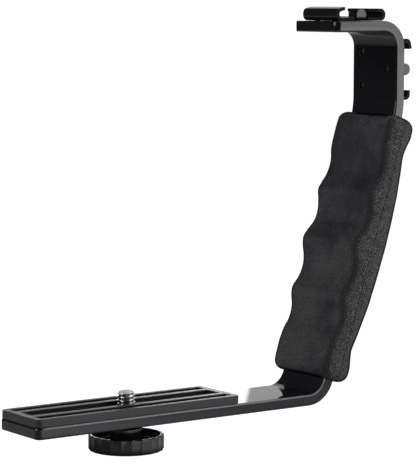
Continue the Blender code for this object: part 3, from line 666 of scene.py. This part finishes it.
# The screw's axis and the radii between which the painted shade in its thread's roots fades out.
THREAD_ROOT_SHADE = (SCREW_PLACE - ORIGIN_IN_BAR.x, 0.00255, 0.00290)
STEEL = turned_metal("screw_bright_steel", (0.66, 0.66, 0.67), (0.42, 0.42, 0.43), 0.16, 0.34)
THREAD = turned_metal("screw_thread", (0.80, 0.80, 0.81), (0.60, 0.60, 0.61), 0.14, 0.28, THREAD_ROOT_SHADE)
TIP = turned_metal("screw_tip", (0.86, 0.86, 0.86), (0.74, 0.74, 0.74), 0.40, 0.50)
TIP.node_tree.nodes["Principled BSDF"].inputs["Metallic"].default_value = 0.3
FASTENER = turned_metal("fastener_dark_steel", (0.10, 0.10, 0.105), (0.05, 0.05, 0.052), 0.25, 0.42)
HOLE_EDGE = turned_metal("worn_hole_wall", (0.30, 0.30, 0.31), (0.12, 0.12, 0.12), 0.35, 0.5)


def finish_with(obj, *materials):
    obj.data.materials.clear()
    for material in materials:
        obj.data.materials.append(material)


# Bar


def bar_ring(place, heading, from_end):
    """The bar's section at one station: a rectangle with rounded edges, drawn in at the two free ends."""
    half_width = BAR_WIDTH / 2
    half_thickness = BAR_THICKNESS / 2
    if from_end < BAR_CORNER:
        half_width -= BAR_CORNER - math.sqrt(BAR_CORNER**2 - (BAR_CORNER - from_end) ** 2)
    if from_end < BAR_EDGE:
        half_thickness -= BAR_EDGE - math.sqrt(BAR_EDGE**2 - (BAR_EDGE - from_end) ** 2)
    normal = Vector((-math.sin(heading), math.cos(heading)))
    ring = []
    for across, out in rounded_rectangle(2 * half_width, 2 * half_thickness, BAR_EDGE, 3):
        spot = place + normal * out
        ring.append((spot.x, across, spot.y))
    return ring


def bar_stations():
    """The path's stations, with more of them close to the free ends."""
    total = BAR_PATH[-1][2]
    edge = [BAR_EDGE * (1 - math.cos(math.radians(30 * step))) for step in range(3)]
    corner = [BAR_CORNER * (1 - math.cos(math.radians(step * 10))) for step in range(4, 10)]
    near = edge + [value for value in corner if value > BAR_EDGE]
    stations = []
    for value in near:
        stations.append((Vector((value, BAR_THICKNESS / 2)), 0, value))
    stations += [(place, heading, min(gone, total - gone)) for place, heading, gone in BAR_PATH[1:-1]]
    last_place, last_heading, _ = BAR_PATH[-1]
    back = Vector((math.cos(last_heading), math.sin(last_heading)))
    for value in near[::-1]:
        stations.append((last_place - back * value, last_heading, value))
    return stations


def slot_outline(half_width, count=10):
    outline = arc((SLOT_END, 0), half_width, -90, 90, count)
    return outline + arc((SLOT_START, 0), half_width, 90, 270, count)


def grip_screw_way(place):
    """Stands a grip screw, drawn along Z, in its place along the grip, with its head towards the palm."""
    return Matrix.Translation((0, 0, place)) @ TOWARDS_PALM


def paint_hole(bar, first, second):
    """Gives the wall of one fastener hole the worn finish."""
    axis = (second - first).normalized()
    for face in bar.data.polygons:
        away = face.center - first
        away -= axis * away.dot(axis)
        if away.length < SHOE_HOLE_RADIUS + 0.0002 and abs(face.normal.dot(axis)) < 0.5:
            face.material_index = 1


def make_bar():
    bar = scratch("bent_bar", loft([bar_ring(*station) for station in bar_stations()]))
    drills = [extruded(slot_outline(NECK_WAY), -OVERRUN, BAR_THICKNESS + OVERRUN)]
    for seat in (TOP_SHOE_SEAT, SIDE_SHOE_SEAT):
        for x, y in SHOE_SCREW_SPOTS:
            way = seat @ Matrix.Translation((x, y, 0))
            drills.append(extruded(circle(SHOE_HOLE_RADIUS), -BAR_THICKNESS - OVERRUN, OVERRUN, way))
    reach = BAR_THICKNESS / 2 + OVERRUN
    for place in GRIP_SCREW_PLACES:
        way = GRIP_SEAT @ grip_screw_way(place)
        drills.append(extruded(circle(GRIP_SCREW_RADIUS + SEAT_GAP), -reach, reach, way))
    cut(bar, gathered(drills))
    shade(bar, 30)
    finish_with(bar, PAINT, HOLE_EDGE)
    for x, y in SHOE_SCREW_SPOTS:
        paint_hole(bar, SIDE_SHOE_SEAT @ Vector((x, y, 0)), SIDE_SHOE_SEAT @ Vector((x, y, -1)))
    register(bar, "bracket", "frame_bar")


# Platform pad


def make_pad():
    start, length, width, thickness = 0.0001, 0.0826, 0.0244, 0.0026
    corner, hollow_corner, hollow_depth, edge = 0.0022, 0.0004, 0.0012, 0.00022
    bottom = BAR_THICKNESS + REST_GAP
    top = BAR_THICKNESS + SEAT_GAP + thickness
    outline = [(x + start + length / 2, y) for x, y in rounded_rectangle(length, width, corner)]
    pad = scratch("ribbed_pad", extruded(outline, bottom, top))
    cutters = []
    for low, high, rim in ((-0.0101, -0.0063, 0.0024), (0.0063, 0.0101, 0.0024), (-0.0037, 0.0037, 0.0030)):
        near, far = start + rim, start + length - rim
        hollow = rounded_rectangle(far - near, high - low, hollow_corner, 3)
        hollow = [(x + (near + far) / 2, y + (low + high) / 2) for x, y in hollow]
        cutters.append(extruded(hollow, top - hollow_depth, top + OVERRUN))
    cut(pad, *cutters)
    welded(pad, join_flats)
    soften(pad, edge, 3, 50)
    bake(shade(pad))
    cut(pad, extruded(slot_outline(0.0035), bottom - OVERRUN, top + OVERRUN))
    welded(pad, split_sides)
    shade(pad)
    finish_with(pad, PAD, PAD_HOLLOW_SHADE)
    # The walls and floors of the grooves and the channel get the darker copy: painted shade.
    for face in pad.data.polygons:
        if abs(face.center.y) < 0.0102 and bottom < face.center.z < top - 0.0003:
            face.material_index = int(start + 0.001 < face.center.x < start + length - 0.001)
    register(pad, "bracket", "platform_pad")


# Clamp


THREAD_PITCH = 0.00127


def thread_share(angle, height):
    """How deep a point of a 60 degree thread with narrow flats is: 0 on its crest and 1 at its root."""
    crest_share, slope_share = 0.12, 0.72
    turn = (height / THREAD_PITCH - angle / math.tau) % 1
    distance = abs(turn - 0.5) * 2
    return min(max((distance - crest_share) / slope_share, 0), 1)


def move_clamp(bm):
    bm.transform(Matrix.Translation((SCREW_PLACE, 0, 0)))
    return bm


def hexagon(across):
    return circle(across / 2 / math.cos(math.radians(30)), 6)


def make_screw():
    crest, depth, chamfer, dome = 0.003175, 0.00062, 0.0010, 0.00026
    tip = BAR_THICKNESS + 0.0068
    shoulder = BAR_THICKNESS + SEAT_GAP
    root = COLLAR_TOP - 0.0005

    def threaded(angle, radius, height):
        if height < shoulder + 0.0001 or radius < crest - WELD:
            return radius
        limit = crest - max(chamfer - (tip - height), 0)
        fade = min(max((height - shoulder) / 0.0009, 0), 1)
        return min(crest - depth * thread_share(angle, height) * fade, limit)

    rows = 110
    flat = crest - chamfer
    profile = [(flat * share, tip + dome * (1 - share**2)) for share in (0, 0.2, 0.4, 0.6, 0.8, 0.9, 0.97)]
    profile += [(crest, tip - (tip - shoulder) * step / rows) for step in range(rows + 1)]
    profile += [(NECK_RADIUS, shoulder), (NECK_RADIUS, COLLAR_TOP + 0.0002), (NECK_RADIUS, root), (0, root)]
    screw = scratch("threaded_screw", move_clamp(lathe(profile, 96, threaded)))
    shade(screw, 28)
    finish_with(screw, THREAD, TIP)
    for face in screw.data.polygons:
        if face.center.z > tip - 0.9 * chamfer and face.normal.z > 0.3:
            face.material_index = 1
    register(screw, "camera_clamp", "camera_screw")


def make_collar():
    """The screw's hexagonal foot, with the threaded tripod socket in its underside."""
    crest, depth, end = 0.0027, 0.0004, 0.0006
    bottom = KNOB_BOTTOM + SEAT_GAP
    top = bottom + 0.0056
    low = bottom - 0.0008

    def bored(angle, radius, height):
        if radius < crest - WELD:
            return radius
        return radius + depth * thread_share(angle, height)

    rows = 90
    walls = [(crest, low + (top - low) * step / rows) for step in range(rows + 1)]
    socket = move_clamp(lathe([(0, low)] + walls + [(0, top + end)], 72, bored))
    collar = scratch("screw_collar", move_clamp(extruded(hexagon(COLLAR_WIDTH), bottom, COLLAR_TOP)))
    cut(collar, socket)
    welded(collar, split_sides)
    shade(collar, 35)
    finish_with(collar, STEEL)
    register(collar, "camera_clamp", "camera_screw")


def make_washer():
    top = -SEAT_GAP
    bottom = top - WASHER_THICKNESS
    edge = 0.0002
    profile = arc((HUB_RADIUS - edge, top - edge), edge, 90, 0, 3)
    profile += arc((HUB_RADIUS - edge, bottom + edge), edge, 0, -90, 3)
    profile += [(NECK_WAY, bottom), (NECK_WAY, top)]
    washer = scratch("thrust_ring", move_clamp(lathe(profile, 72)))
    shade(washer)
    finish_with(washer, KNOB)
    register(washer, "screw_carriage", "thrust_washer")


def make_knob():
    outer, wall = 0.013, 0.0117
    bottom = KNOB_BOTTOM
    rim_top = bottom + 0.0055
    floor = bottom + 0.0022
    hub_top = -2 * SEAT_GAP - WASHER_THICKNESS
    lip, fillet, foot = 0.0003, 0.0005, 0.0008
    flutes, depth, ridge = 22, 0.00038, 0.0006
    pitch = math.tau / flutes
    ridge_share = ridge / (outer * pitch)

    def fluted(angle, radius, height):
        if radius < wall + 2 * lip:
            return radius
        from_ridge = abs((angle / pitch + 0.5) % 1 - 0.5) * 2
        share = min(max((from_ridge - ridge_share) / (1 - ridge_share), 0), 1)
        return radius - depth * (1 - (1 - share) ** 2) ** 0.5

    profile = arc((HUB_RADIUS - lip, hub_top - lip), lip, 90, 0, 3)
    profile += arc((HUB_RADIUS + fillet, floor + fillet), fillet, 180, 270, 4)
    profile += arc((wall - fillet, floor + fillet), fillet, -90, 0, 4)
    profile += arc((wall + lip, rim_top - lip), lip, 180, 90, 4)
    profile += arc((outer - lip, rim_top - lip), lip, 90, 0, 4)
    profile += [(outer, rim_top - 0.002), (outer, bottom + 0.002)]
    profile += arc((outer - foot, bottom + foot), foot, 0, -90, 5)
    profile += [(0.0098, bottom), (0.0094, bottom + lip), (0.0066, bottom + lip), (0.0062, bottom)]
    profile += [(NECK_WAY, bottom), (NECK_WAY, hub_top)]
    knob = scratch("fluted_knob", move_clamp(lathe(profile, flutes * 14, fluted)))
    pocket = extruded(hexagon(COLLAR_WIDTH + 2 * SEAT_GAP), bottom - OVERRUN, COLLAR_TOP + SEAT_GAP)
    cut(knob, move_clamp(pocket))
    welded(knob, split_sides)
    shade(knob)
    finish_with(knob, KNOB)
    register(knob, "camera_clamp", "clamp_knob")


# Hand grip


FINGER_SHARES = (
    (0.76, 0.77, 0.79, 0.80, 0.78, 0.72, 0.60, 0.58, 0.65, 0.82, 0.86)
    + (0.70, 0.61, 0.61, 0.72, 0.91, 1.00, 0.86, 0.66, 0.58, 0.62, 0.74)
    + (0.88, 0.77, 0.63, 0.58, 0.61, 0.74, 0.79, 0.80, 0.81, 0.79, 0.77)
)
PALM_SHARES = (
    (0.79, 0.82, 0.82, 0.75, 0.70, 0.74, 0.79, 0.83, 0.87, 0.91, 0.94)
    + (0.95, 0.97, 0.98, 0.99, 0.99, 1.00, 1.00, 0.99, 0.98, 0.97, 0.95)
    + (0.93, 0.91, 0.87, 0.83, 0.79, 0.74, 0.72, 0.77, 0.84, 0.83, 0.80)
)
GRIP_ROUNDING = 0.0035


def curve_through(shares, place):
    """A smooth curve through evenly spaced values, at a place between 0 and 1."""
    last = len(shares) - 1
    index = min(int(place * last), last - 1)
    before, first, second, after = (shares[min(max(index + step, 0), last)] for step in (-1, 0, 1, 2))
    t = place * last - index
    bend = 2 * before - 5 * first + 4 * second - after
    twist = 3 * (first - second) + after - before
    return first + t / 2 * (second - before + t * (bend + t * twist))


def grip_section(along):
    """The grip's outline at one place along it. X points to the palm, and -X to the fingers."""
    from_end = min(along, GRIP_LENGTH - along)
    inset = 0
    if from_end < GRIP_ROUNDING:
        inset = GRIP_ROUNDING - math.sqrt(max(GRIP_ROUNDING**2 - (GRIP_ROUNDING - from_end) ** 2, 0))
    fingers = inset - 0.0078 * curve_through(FINGER_SHARES, along / GRIP_LENGTH)
    palm = 0.0103 * curve_through(PALM_SHARES, along / GRIP_LENGTH) - inset
    half_width = 0.0165 - inset
    finger_radius = 0.0042 - inset
    palm_radius = 0.0075 - inset
    palm_side = palm - palm_radius
    finger_side = fingers + finger_radius
    outline = arc((palm_side, half_width - palm_radius), palm_radius, 0, 90, 10)
    outline += arc((finger_side, half_width - finger_radius), finger_radius, 90, 180, 8)
    outline += arc((finger_side, finger_radius - half_width), finger_radius, 180, 270, 8)
    outline += arc((palm_side, palm_radius - half_width), palm_radius, 270, 360, 10)
    return outline


def grip_stations():
    ends = [GRIP_ROUNDING * (1 - math.cos(math.radians(step * 9))) for step in range(11)]
    straight = GRIP_LENGTH - 2 * GRIP_ROUNDING
    count = 120
    middle = [GRIP_ROUNDING + straight * step / count for step in range(1, count)]
    return ends + middle + [GRIP_LENGTH - end for end in ends[::-1]]


def make_shell(name, keep_palm, replaced):
    rings = []
    for along in grip_stations():
        rings.append([(x, y, GRIP_START + along) for x, y in grip_section(along)])
    shell = scratch(name, loft(rings))
    side = 1 if keep_palm else -1
    seam = 0.0006 + side * SEAM_GAP / 2
    reach = 0.04
    low = (min(seam, -side * reach), -reach, -reach)
    high = (max(seam, -side * reach), reach, GRIP_LENGTH + reach)
    half_bar = BAR_THICKNESS / 2 + SEAT_GAP
    half_width = BAR_WIDTH / 2 + SEAT_GAP
    bar_way = block((-half_bar, -half_width, -OVERRUN), (half_bar, half_width, GRIP_LENGTH + OVERRUN))
    cutters = [block(low, high), bar_way]
    shank = circle(GRIP_SCREW_RADIUS + SEAT_GAP)
    head = circle(GRIP_SCREW_HEAD + SEAT_GAP, 36)
    for place in GRIP_SCREW_PLACES:
        way = grip_screw_way(place)
        cutters.append(extruded(shank, -GRIP_SCREW_REACH - SEAT_GAP, GRIP_SCREW_SEAT + OVERRUN, way))
        if keep_palm:
            cutters.append(extruded(head, GRIP_SCREW_SEAT, 0.0125, way))
    cut(shell, *cutters)
    shell.data.transform(GRIP_SEAT)
    shade(shell)
    finish_with(shell, GRIP)
    register(shell, "bracket", replaced)


# Fasteners


def cross(reach, half):
    """The outline of a cross recess."""
    quarter = [(half, half), (half, reach), (-half, reach)]
    outline = []
    for _ in range(4):
        outline += quarter
        quarter = [(-y, x) for x, y in quarter]
    return outline


def make_fastener(name, profile, steps, recess, seat, replaced):
    """A screw with a cross recess, which is given by its reach, half width, turn and lowest height."""
    reach, half, turn, low = recess
    screw = scratch(name, lathe(profile, steps))
    cut(screw, extruded(cross(reach, half), low, low + OVERRUN, Matrix.Rotation(turn, 4, "Z")))
    welded(screw, split_sides)
    screw.data.transform(seat)
    shade(screw, 35)
    finish_with(screw, FASTENER)
    register(screw, "bracket", replaced)


def make_grip_screws():
    seat = GRIP_SCREW_SEAT + SEAT_GAP
    crown = seat + 0.0018
    edge = 0.001
    profile = [(0, crown), (0.0008, crown)] + arc((GRIP_SCREW_HEAD - edge, crown - edge), edge, 90, 0, 6)
    profile += [(GRIP_SCREW_HEAD, seat), (GRIP_SCREW_RADIUS, seat)]
    profile += [(GRIP_SCREW_RADIUS, -0.0034), (0, -GRIP_SCREW_REACH)]
    recess = (0.0015, 0.0003, 0, crown - 0.0007)
    for label, place in zip(("lower", "upper"), GRIP_SCREW_PLACES):
        name = f"grip_screw_{label}"
        make_fastener(f"{name}_dressed", profile, 48, recess, GRIP_SEAT @ grip_screw_way(place), name)


# Shoes


SHOE_WIDTH, SHOE_LENGTH, SHOE_SHEET = 0.0222, 0.0197, 0.0012
SHOE_BEND = 0.0008
SHOE_LIP = 0.0035
CURLED_HEIGHT, PLAIN_HEIGHT = 0.0046, 0.0043
TAB_WIDTH = 0.0043
FINE_STEP = math.radians(10)


def strip_edges(segments, thickness, start):
    """The two edges of a bent strip that starts towards X."""
    left, right = [], []
    for place, turn, _ in walk_strip(segments, thickness, start, 0, FINE_STEP):
        side = Vector((-math.sin(turn), math.cos(turn))) * thickness / 2
        left.append(place + side)
        right.append(place - side)
    return left, right


def shoe_half(height, lip_lift):
    """Inner and outer edge of half the shoe's section, from the middle of its floor to its lip."""
    bend = SHOE_BEND + SHOE_SHEET
    lip = (SHOE_LIP - bend * (1 - math.sin(lip_lift))) / math.cos(lip_lift)
    segments = (
        ("run", SHOE_WIDTH / 2 - bend, 0),
        ("bend", SQUARE, SHOE_BEND),
        ("run", height - 2 * bend, 0),
        ("bend", SQUARE - lip_lift, SHOE_BEND),
        ("run", lip, 0),
    )
    inner, outer = strip_edges(segments, SHOE_SHEET, (0, SHOE_SHEET / 2))
    return inner[1:], outer[1:]


def shoe_tab():
    """The stop tab, bent up from the floor and rounded at its top."""
    height, sheet, inner_bend, reach = 0.0030, 0.0010, 0.0004, 0.0036
    bend = inner_bend + sheet
    floor = (SHOE_SHEET - sheet) / 2
    top = SHOE_SHEET + height
    root = reach - SHOE_LENGTH / 2
    segments = (("run", reach - bend, 0), ("bend", SQUARE, inner_bend), ("run", top - floor - bend, 0))
    inner, outer = strip_edges(segments, sheet, (0, 0))
    points = [(root - point.x, floor + sheet / 2 + point.y) for point in outer + inner[::-1]]
    standing = Matrix(((0, 0, 1, 0), (1, 0, 0, 0), (0, 1, 0, 0), (0, 0, 0, 1)))
    tab = scratch("tab", extruded(points, -TAB_WIDTH / 2, TAB_WIDTH / 2, standing))
    half = TAB_WIDTH / 2
    shoulder = top - half + WELD
    keep = [(-TAB_WIDTH, -0.001), (TAB_WIDTH, -0.001), (TAB_WIDTH, shoulder), (half, shoulder)]
    keep += arc((0, shoulder), half, 0, 180, 24)[1:-1] + [(-half, shoulder), (-TAB_WIDTH, shoulder)]
    wide = Matrix(((1, 0, 0, 0), (0, 0, 1, 0), (0, 1, 0, 0), (0, 0, 0, 1)))
    mask = scratch("tab_mask", extruded(keep, -SHOE_LENGTH, 0, wide))
    return combine(tab, [mask], "INTERSECT")


def shoe_body():
    """The shoe on its seat plane: X across the channel, Y along it and Z away from the bar."""
    curled_inner, curled_outer = shoe_half(CURLED_HEIGHT, math.radians(13))
    plain_inner, plain_outer = shoe_half(PLAIN_HEIGHT, math.radians(2))
    outline = [(-p.x, p.y) for p in curled_outer[::-1]] + [tuple(p) for p in plain_outer]
    outline += [tuple(p) for p in plain_inner[::-1]] + [(-p.x, p.y) for p in curled_inner]
    end = SHOE_LENGTH / 2
    shoe = scratch("shoe", extruded(outline, -end, end, Matrix.Rotation(SQUARE, 4, "X")))
    relief, relief_depth = TAB_WIDTH / 2 + 0.0008, 0.0026
    gap = block((-relief, -end - OVERRUN, -OVERRUN), (relief, relief_depth - end, SHOE_SHEET + OVERRUN))
    tip, bevel, bevel_reach = SHOE_WIDTH / 2 - SHOE_LIP, 0.0024, 0.0032
    inner, outer = tip - OVERRUN, end + OVERRUN
    wedge = [(inner, outer), (inner, end - bevel - OVERRUN), (tip + bevel + OVERRUN, outer)]
    cut(shoe, gap, extruded(wedge, PLAIN_HEIGHT - bevel_reach, PLAIN_HEIGHT + bevel_reach))
    combine(shoe, [shoe_tab()], "UNION")
    mouth, above = 0.0019, SHOE_SHEET + OVERRUN
    countersink = SHOE_SHEET - (mouth - SHOE_HOLE_RADIUS)
    profile = [(0, above), (mouth, above), (mouth, SHOE_SHEET)]
    profile += [(SHOE_HOLE_RADIUS, countersink), (SHOE_HOLE_RADIUS, -OVERRUN), (0, -OVERRUN)]
    drills = []
    for x, y in SHOE_SCREW_SPOTS:
        drill = lathe(profile, 32)
        drill.transform(Matrix.Translation((x, y, 0)))
        drills.append(drill)
    cut(shoe, *drills)
    return welded(shoe, join_flats)


def dull_ends(shoe):
    """The sheet's sheared ends and the stop tab's rim get the dull finish."""
    half = TAB_WIDTH / 2 + 0.00015
    for face in shoe.data.polygons:
        lengthwise = abs(face.normal.y) > 0.35
        on_tab = abs(face.center.x) < half and face.center.z > SHOE_SHEET + 0.0002
        if lengthwise != on_tab and (on_tab or abs(face.center.x) > half):
            face.material_index = 1


def make_shoes():
    master = soften(shoe_body(), 0.00025, 3, 50)
    finish_with(master, SHOE_PAINT, SHEARED)
    dull_ends(master)
    master.data.transform(Matrix.Translation((0, 0, REST_GAP - SEAT_GAP)))
    master.name = "top_flash_shoe"
    twin = in_scene("side_flash_shoe", master.data.copy())
    for obj, seat, replaced in ((master, TOP_SHOE_SEAT, "top_shoe"), (twin, SIDE_SHOE_SEAT, "side_shoe")):
        shade(obj)
        obj.data.transform(seat)
        register(obj, "bracket", replaced)


def make_shoe_screws():
    radius, head, sharp, edge = 0.0011, 0.0016, 0.0001, 0.0003
    bottom = -SEAT_GAP - BAR_THICKNESS + 0.0006
    profile = [(0, SHOE_SHEET), (head - sharp, SHOE_SHEET), (head, SHOE_SHEET - sharp)]
    profile += [(radius, SHOE_SHEET - sharp - (head - radius))]
    profile += arc((radius - edge, bottom + edge), edge, 0, -90, 4) + [(0.0004, bottom), (0, bottom + sharp)]
    for label, seat in (("top", TOP_SHOE_SEAT), ("side", SIDE_SHOE_SEAT)):
        for number, (x, y) in enumerate(SHOE_SCREW_SPOTS, 1):
            recess = (0.0009, 0.00022, math.radians(17 * number), SHOE_SHEET - 0.0005)
            place = seat @ Matrix.Translation((x, y, 0))
            name = f"{label}_fastener_{number}"
            make_fastener(name, profile, 32, recess, place, f"{label}_shoe_screw_{number}")


make_bar()
make_pad()
make_screw()
make_collar()
make_washer()
make_knob()
make_shell("finger_half", False, "grip_finger_shell")
make_shell("palm_half", True, "grip_palm_shell")
make_grip_screws()
make_shoes()
make_shoe_screws()


# Camera and studio


CAMERA_PLACE = (-0.517461, -0.641770, 0.089477)
AZIMUTH, ELEVATION, ROLL = (math.radians(angle) for angle in (35.469, 5.892, 0.118))
AHEAD = Vector((math.sin(AZIMUTH), math.cos(AZIMUTH), 0))
ASIDE = Vector((AHEAD.y, -AHEAD.x, 0))


def make_camera():
    data = bpy.data.cameras.new("camera")
    data.lens = 176.17
    data.sensor_width = 36
    data.sensor_fit = "VERTICAL"
    data.sensor_height = 36
    data.clip_start = 0.01
    data.clip_end = 50
    forward = AHEAD * math.cos(ELEVATION) - Vector((0, 0, math.sin(ELEVATION)))
    right = forward.cross(Vector((0, 0, 1))).normalized()
    up = right.cross(forward)
    tilted_right = right * math.cos(ROLL) + up * math.sin(ROLL)
    tilted_up = up * math.cos(ROLL) - right * math.sin(ROLL)
    turn = Matrix((tilted_right, tilted_up, -forward)).transposed().to_4x4()
    camera = in_scene("camera", data)
    camera.matrix_world = Matrix.Translation(CAMERA_PLACE) @ turn
    bpy.context.scene.camera = camera


def area_light(name, place, aim, size, power, size_y=None):
    data = bpy.data.lights.new(name, "AREA")
    data.energy = power
    data.size = size
    if size_y:
        data.shape = "RECTANGLE"
        data.size_y = size_y
    lamp = in_scene(name, data)
    lamp.location = place
    lamp.rotation_euler = (Vector(aim) - Vector(place)).to_track_quat("-Z", "Y").to_euler()


def glow_for(tree, surface, camera_strength, glossy_strength, paper):
    """Adds a glow that only the camera, reflections and clear materials see.

    paper(tree) gives where the white paper lies, which is all that reflections see.
    """
    path = node(tree, "ShaderNodeLightPath").outputs
    reflected = maths(tree, "MAXIMUM", path["Is Glossy Ray"], path["Is Transmission Ray"])
    reflected = times(tree, times(tree, reflected, glossy_strength), paper(tree))
    direct = times(tree, path["Is Camera Ray"], camera_strength)
    glow = node(tree, "ShaderNodeEmission")
    tree.links.new(maths(tree, "MAXIMUM", direct, reflected), glow.inputs["Strength"])
    both = node(tree, "ShaderNodeAddShader")
    tree.links.new(surface, both.inputs[0])
    tree.links.new(glow.outputs[0], both.inputs[1])
    return both.outputs[0]


def paper_on_table(tree):
    """Where the table is white: past an edge on its right, and faintly in two lit places by the lower arm.

    It is dark in the knob's own shadow and dim to the knob's left.
    """
    place = object_place(tree)
    axes = axes_of(tree, "Object")
    right = spread(tree, axes["X"], -0.02, 0.22)
    away = vector_maths(tree, "LENGTH", place, result="Value")
    patch = spread(tree, away, 0.3, 0.8, 1, 0)
    before = spread(tree, axes["X"], -0.09, -0.01, 1.5, 0.7)
    before = times(tree, before, spread(tree, axes["Y"], -0.055, -0.045, 1, 0.6))
    before = times(tree, before, spread(tree, axes["X"], -0.10, -0.04, 1.12, 1))
    knob_place = Vector((SCREW_PLACE - ORIGIN_IN_BAR.x, 0, CAD_LOW.z))
    from_knob = vector_maths(tree, "SUBTRACT", place, knob_place)
    across = vector_maths(tree, "DOT_PRODUCT", from_knob, ASIDE, "Value")
    dim = spread(tree, across, -0.020, -0.010, 0.08, 0.30)
    bright = spread(tree, across, 0.003, 0.012)
    before = times(tree, before, maths(tree, "MAXIMUM", dim, bright))
    behind = spread(tree, axes["Y"], -0.01, 0.03)
    lit = blend_values(tree, behind, before, times(tree, behind, 0.22))
    reach = vector_maths(tree, "LENGTH", from_knob, result="Value")
    lit = times(tree, lit, spread(tree, reach, 0.0135, 0.024))
    return maths(tree, "MAXIMUM", right, times(tree, patch, lit))


def card_behind(tree):
    """The backdrop is bright on its left, up to a straight edge and low down, and grey on its right."""
    left = spread(tree, axes_of(tree, "Object")["Z"], 0.46, 0.62, 1, 0.3)
    split = vector_maths(tree, "DOT_PRODUCT", object_place(tree), ASIDE, "Value")
    across = spread(tree, split, 0.0078, 0.0094)
    return blend_values(tree, across, left, times(tree, across, 0.27))


def stage_plane(name, corners, colour, camera_strength, glossy_strength, paper):
    bm = bmesh.new()
    bm.faces.new([bm.verts.new(corner) for corner in corners])
    plane = scratch(name, bm)
    material, tree, shader = new_material(name, colour, 0.9)
    shader.inputs["Specular IOR Level"].default_value = 0.0
    surface = glow_for(tree, shader.outputs[0], camera_strength, glossy_strength, paper)
    tree.links.new(surface, tree.nodes["Material Output"].inputs["Surface"])
    finish_with(plane, material)


def make_studio():
    wide = 6
    ground = []
    for side_a, side_b in ((-wide, -wide), (-wide, wide), (wide, wide), (wide, -wide)):
        spot = AHEAD * side_a + ASIDE * side_b
        ground.append((spot.x, spot.y, CAD_LOW.z - 0.0002))
    stage_plane("floor", ground, (0.35, 0.35, 0.35), 0.985, 0.9, paper_on_table)
    wall = []
    for side, height in ((-0.9, -0.3), (1.5, -0.3), (1.5, 1.6), (-0.9, 1.6)):
        spot = AHEAD * 2.4 + ASIDE * side
        wall.append((spot.x, spot.y, height))
    stage_plane("backdrop", wall, (0.3, 0.3, 0.3), 1, 2.6, card_behind)
    area_light("key_softbox", (0.75, -0.94, 0.435), (0, 0, 0.435), 0.9, 9.4, size_y=0.95)
    area_light("top_softbox", (0.7, -0.1, 1.05), (0, 0, 0), 0.85, 4)
    area_light("left_softbox", (-1.2, 0.25, 0.45), (0, 0, 0), 0.8, 9)
    world = bpy.data.worlds.new("studio")
    bpy.context.scene.world = world
    world.use_nodes = True
    tree = world.node_tree
    background = tree.nodes["Background"]
    background.inputs["Color"].default_value = (1, 1, 1, 1)
    path = node(tree, "ShaderNodeLightPath").outputs
    seen = maths(tree, "MAXIMUM", path["Is Camera Ray"], path["Is Transmission Ray"])
    tree.links.new(spread(tree, seen, 0, 1, 0.03, 1), background.inputs["Strength"])


make_camera()
make_studio()
bpy.context.scene.view_settings.view_transform = "Standard"

bpy.context.view_layer.update()
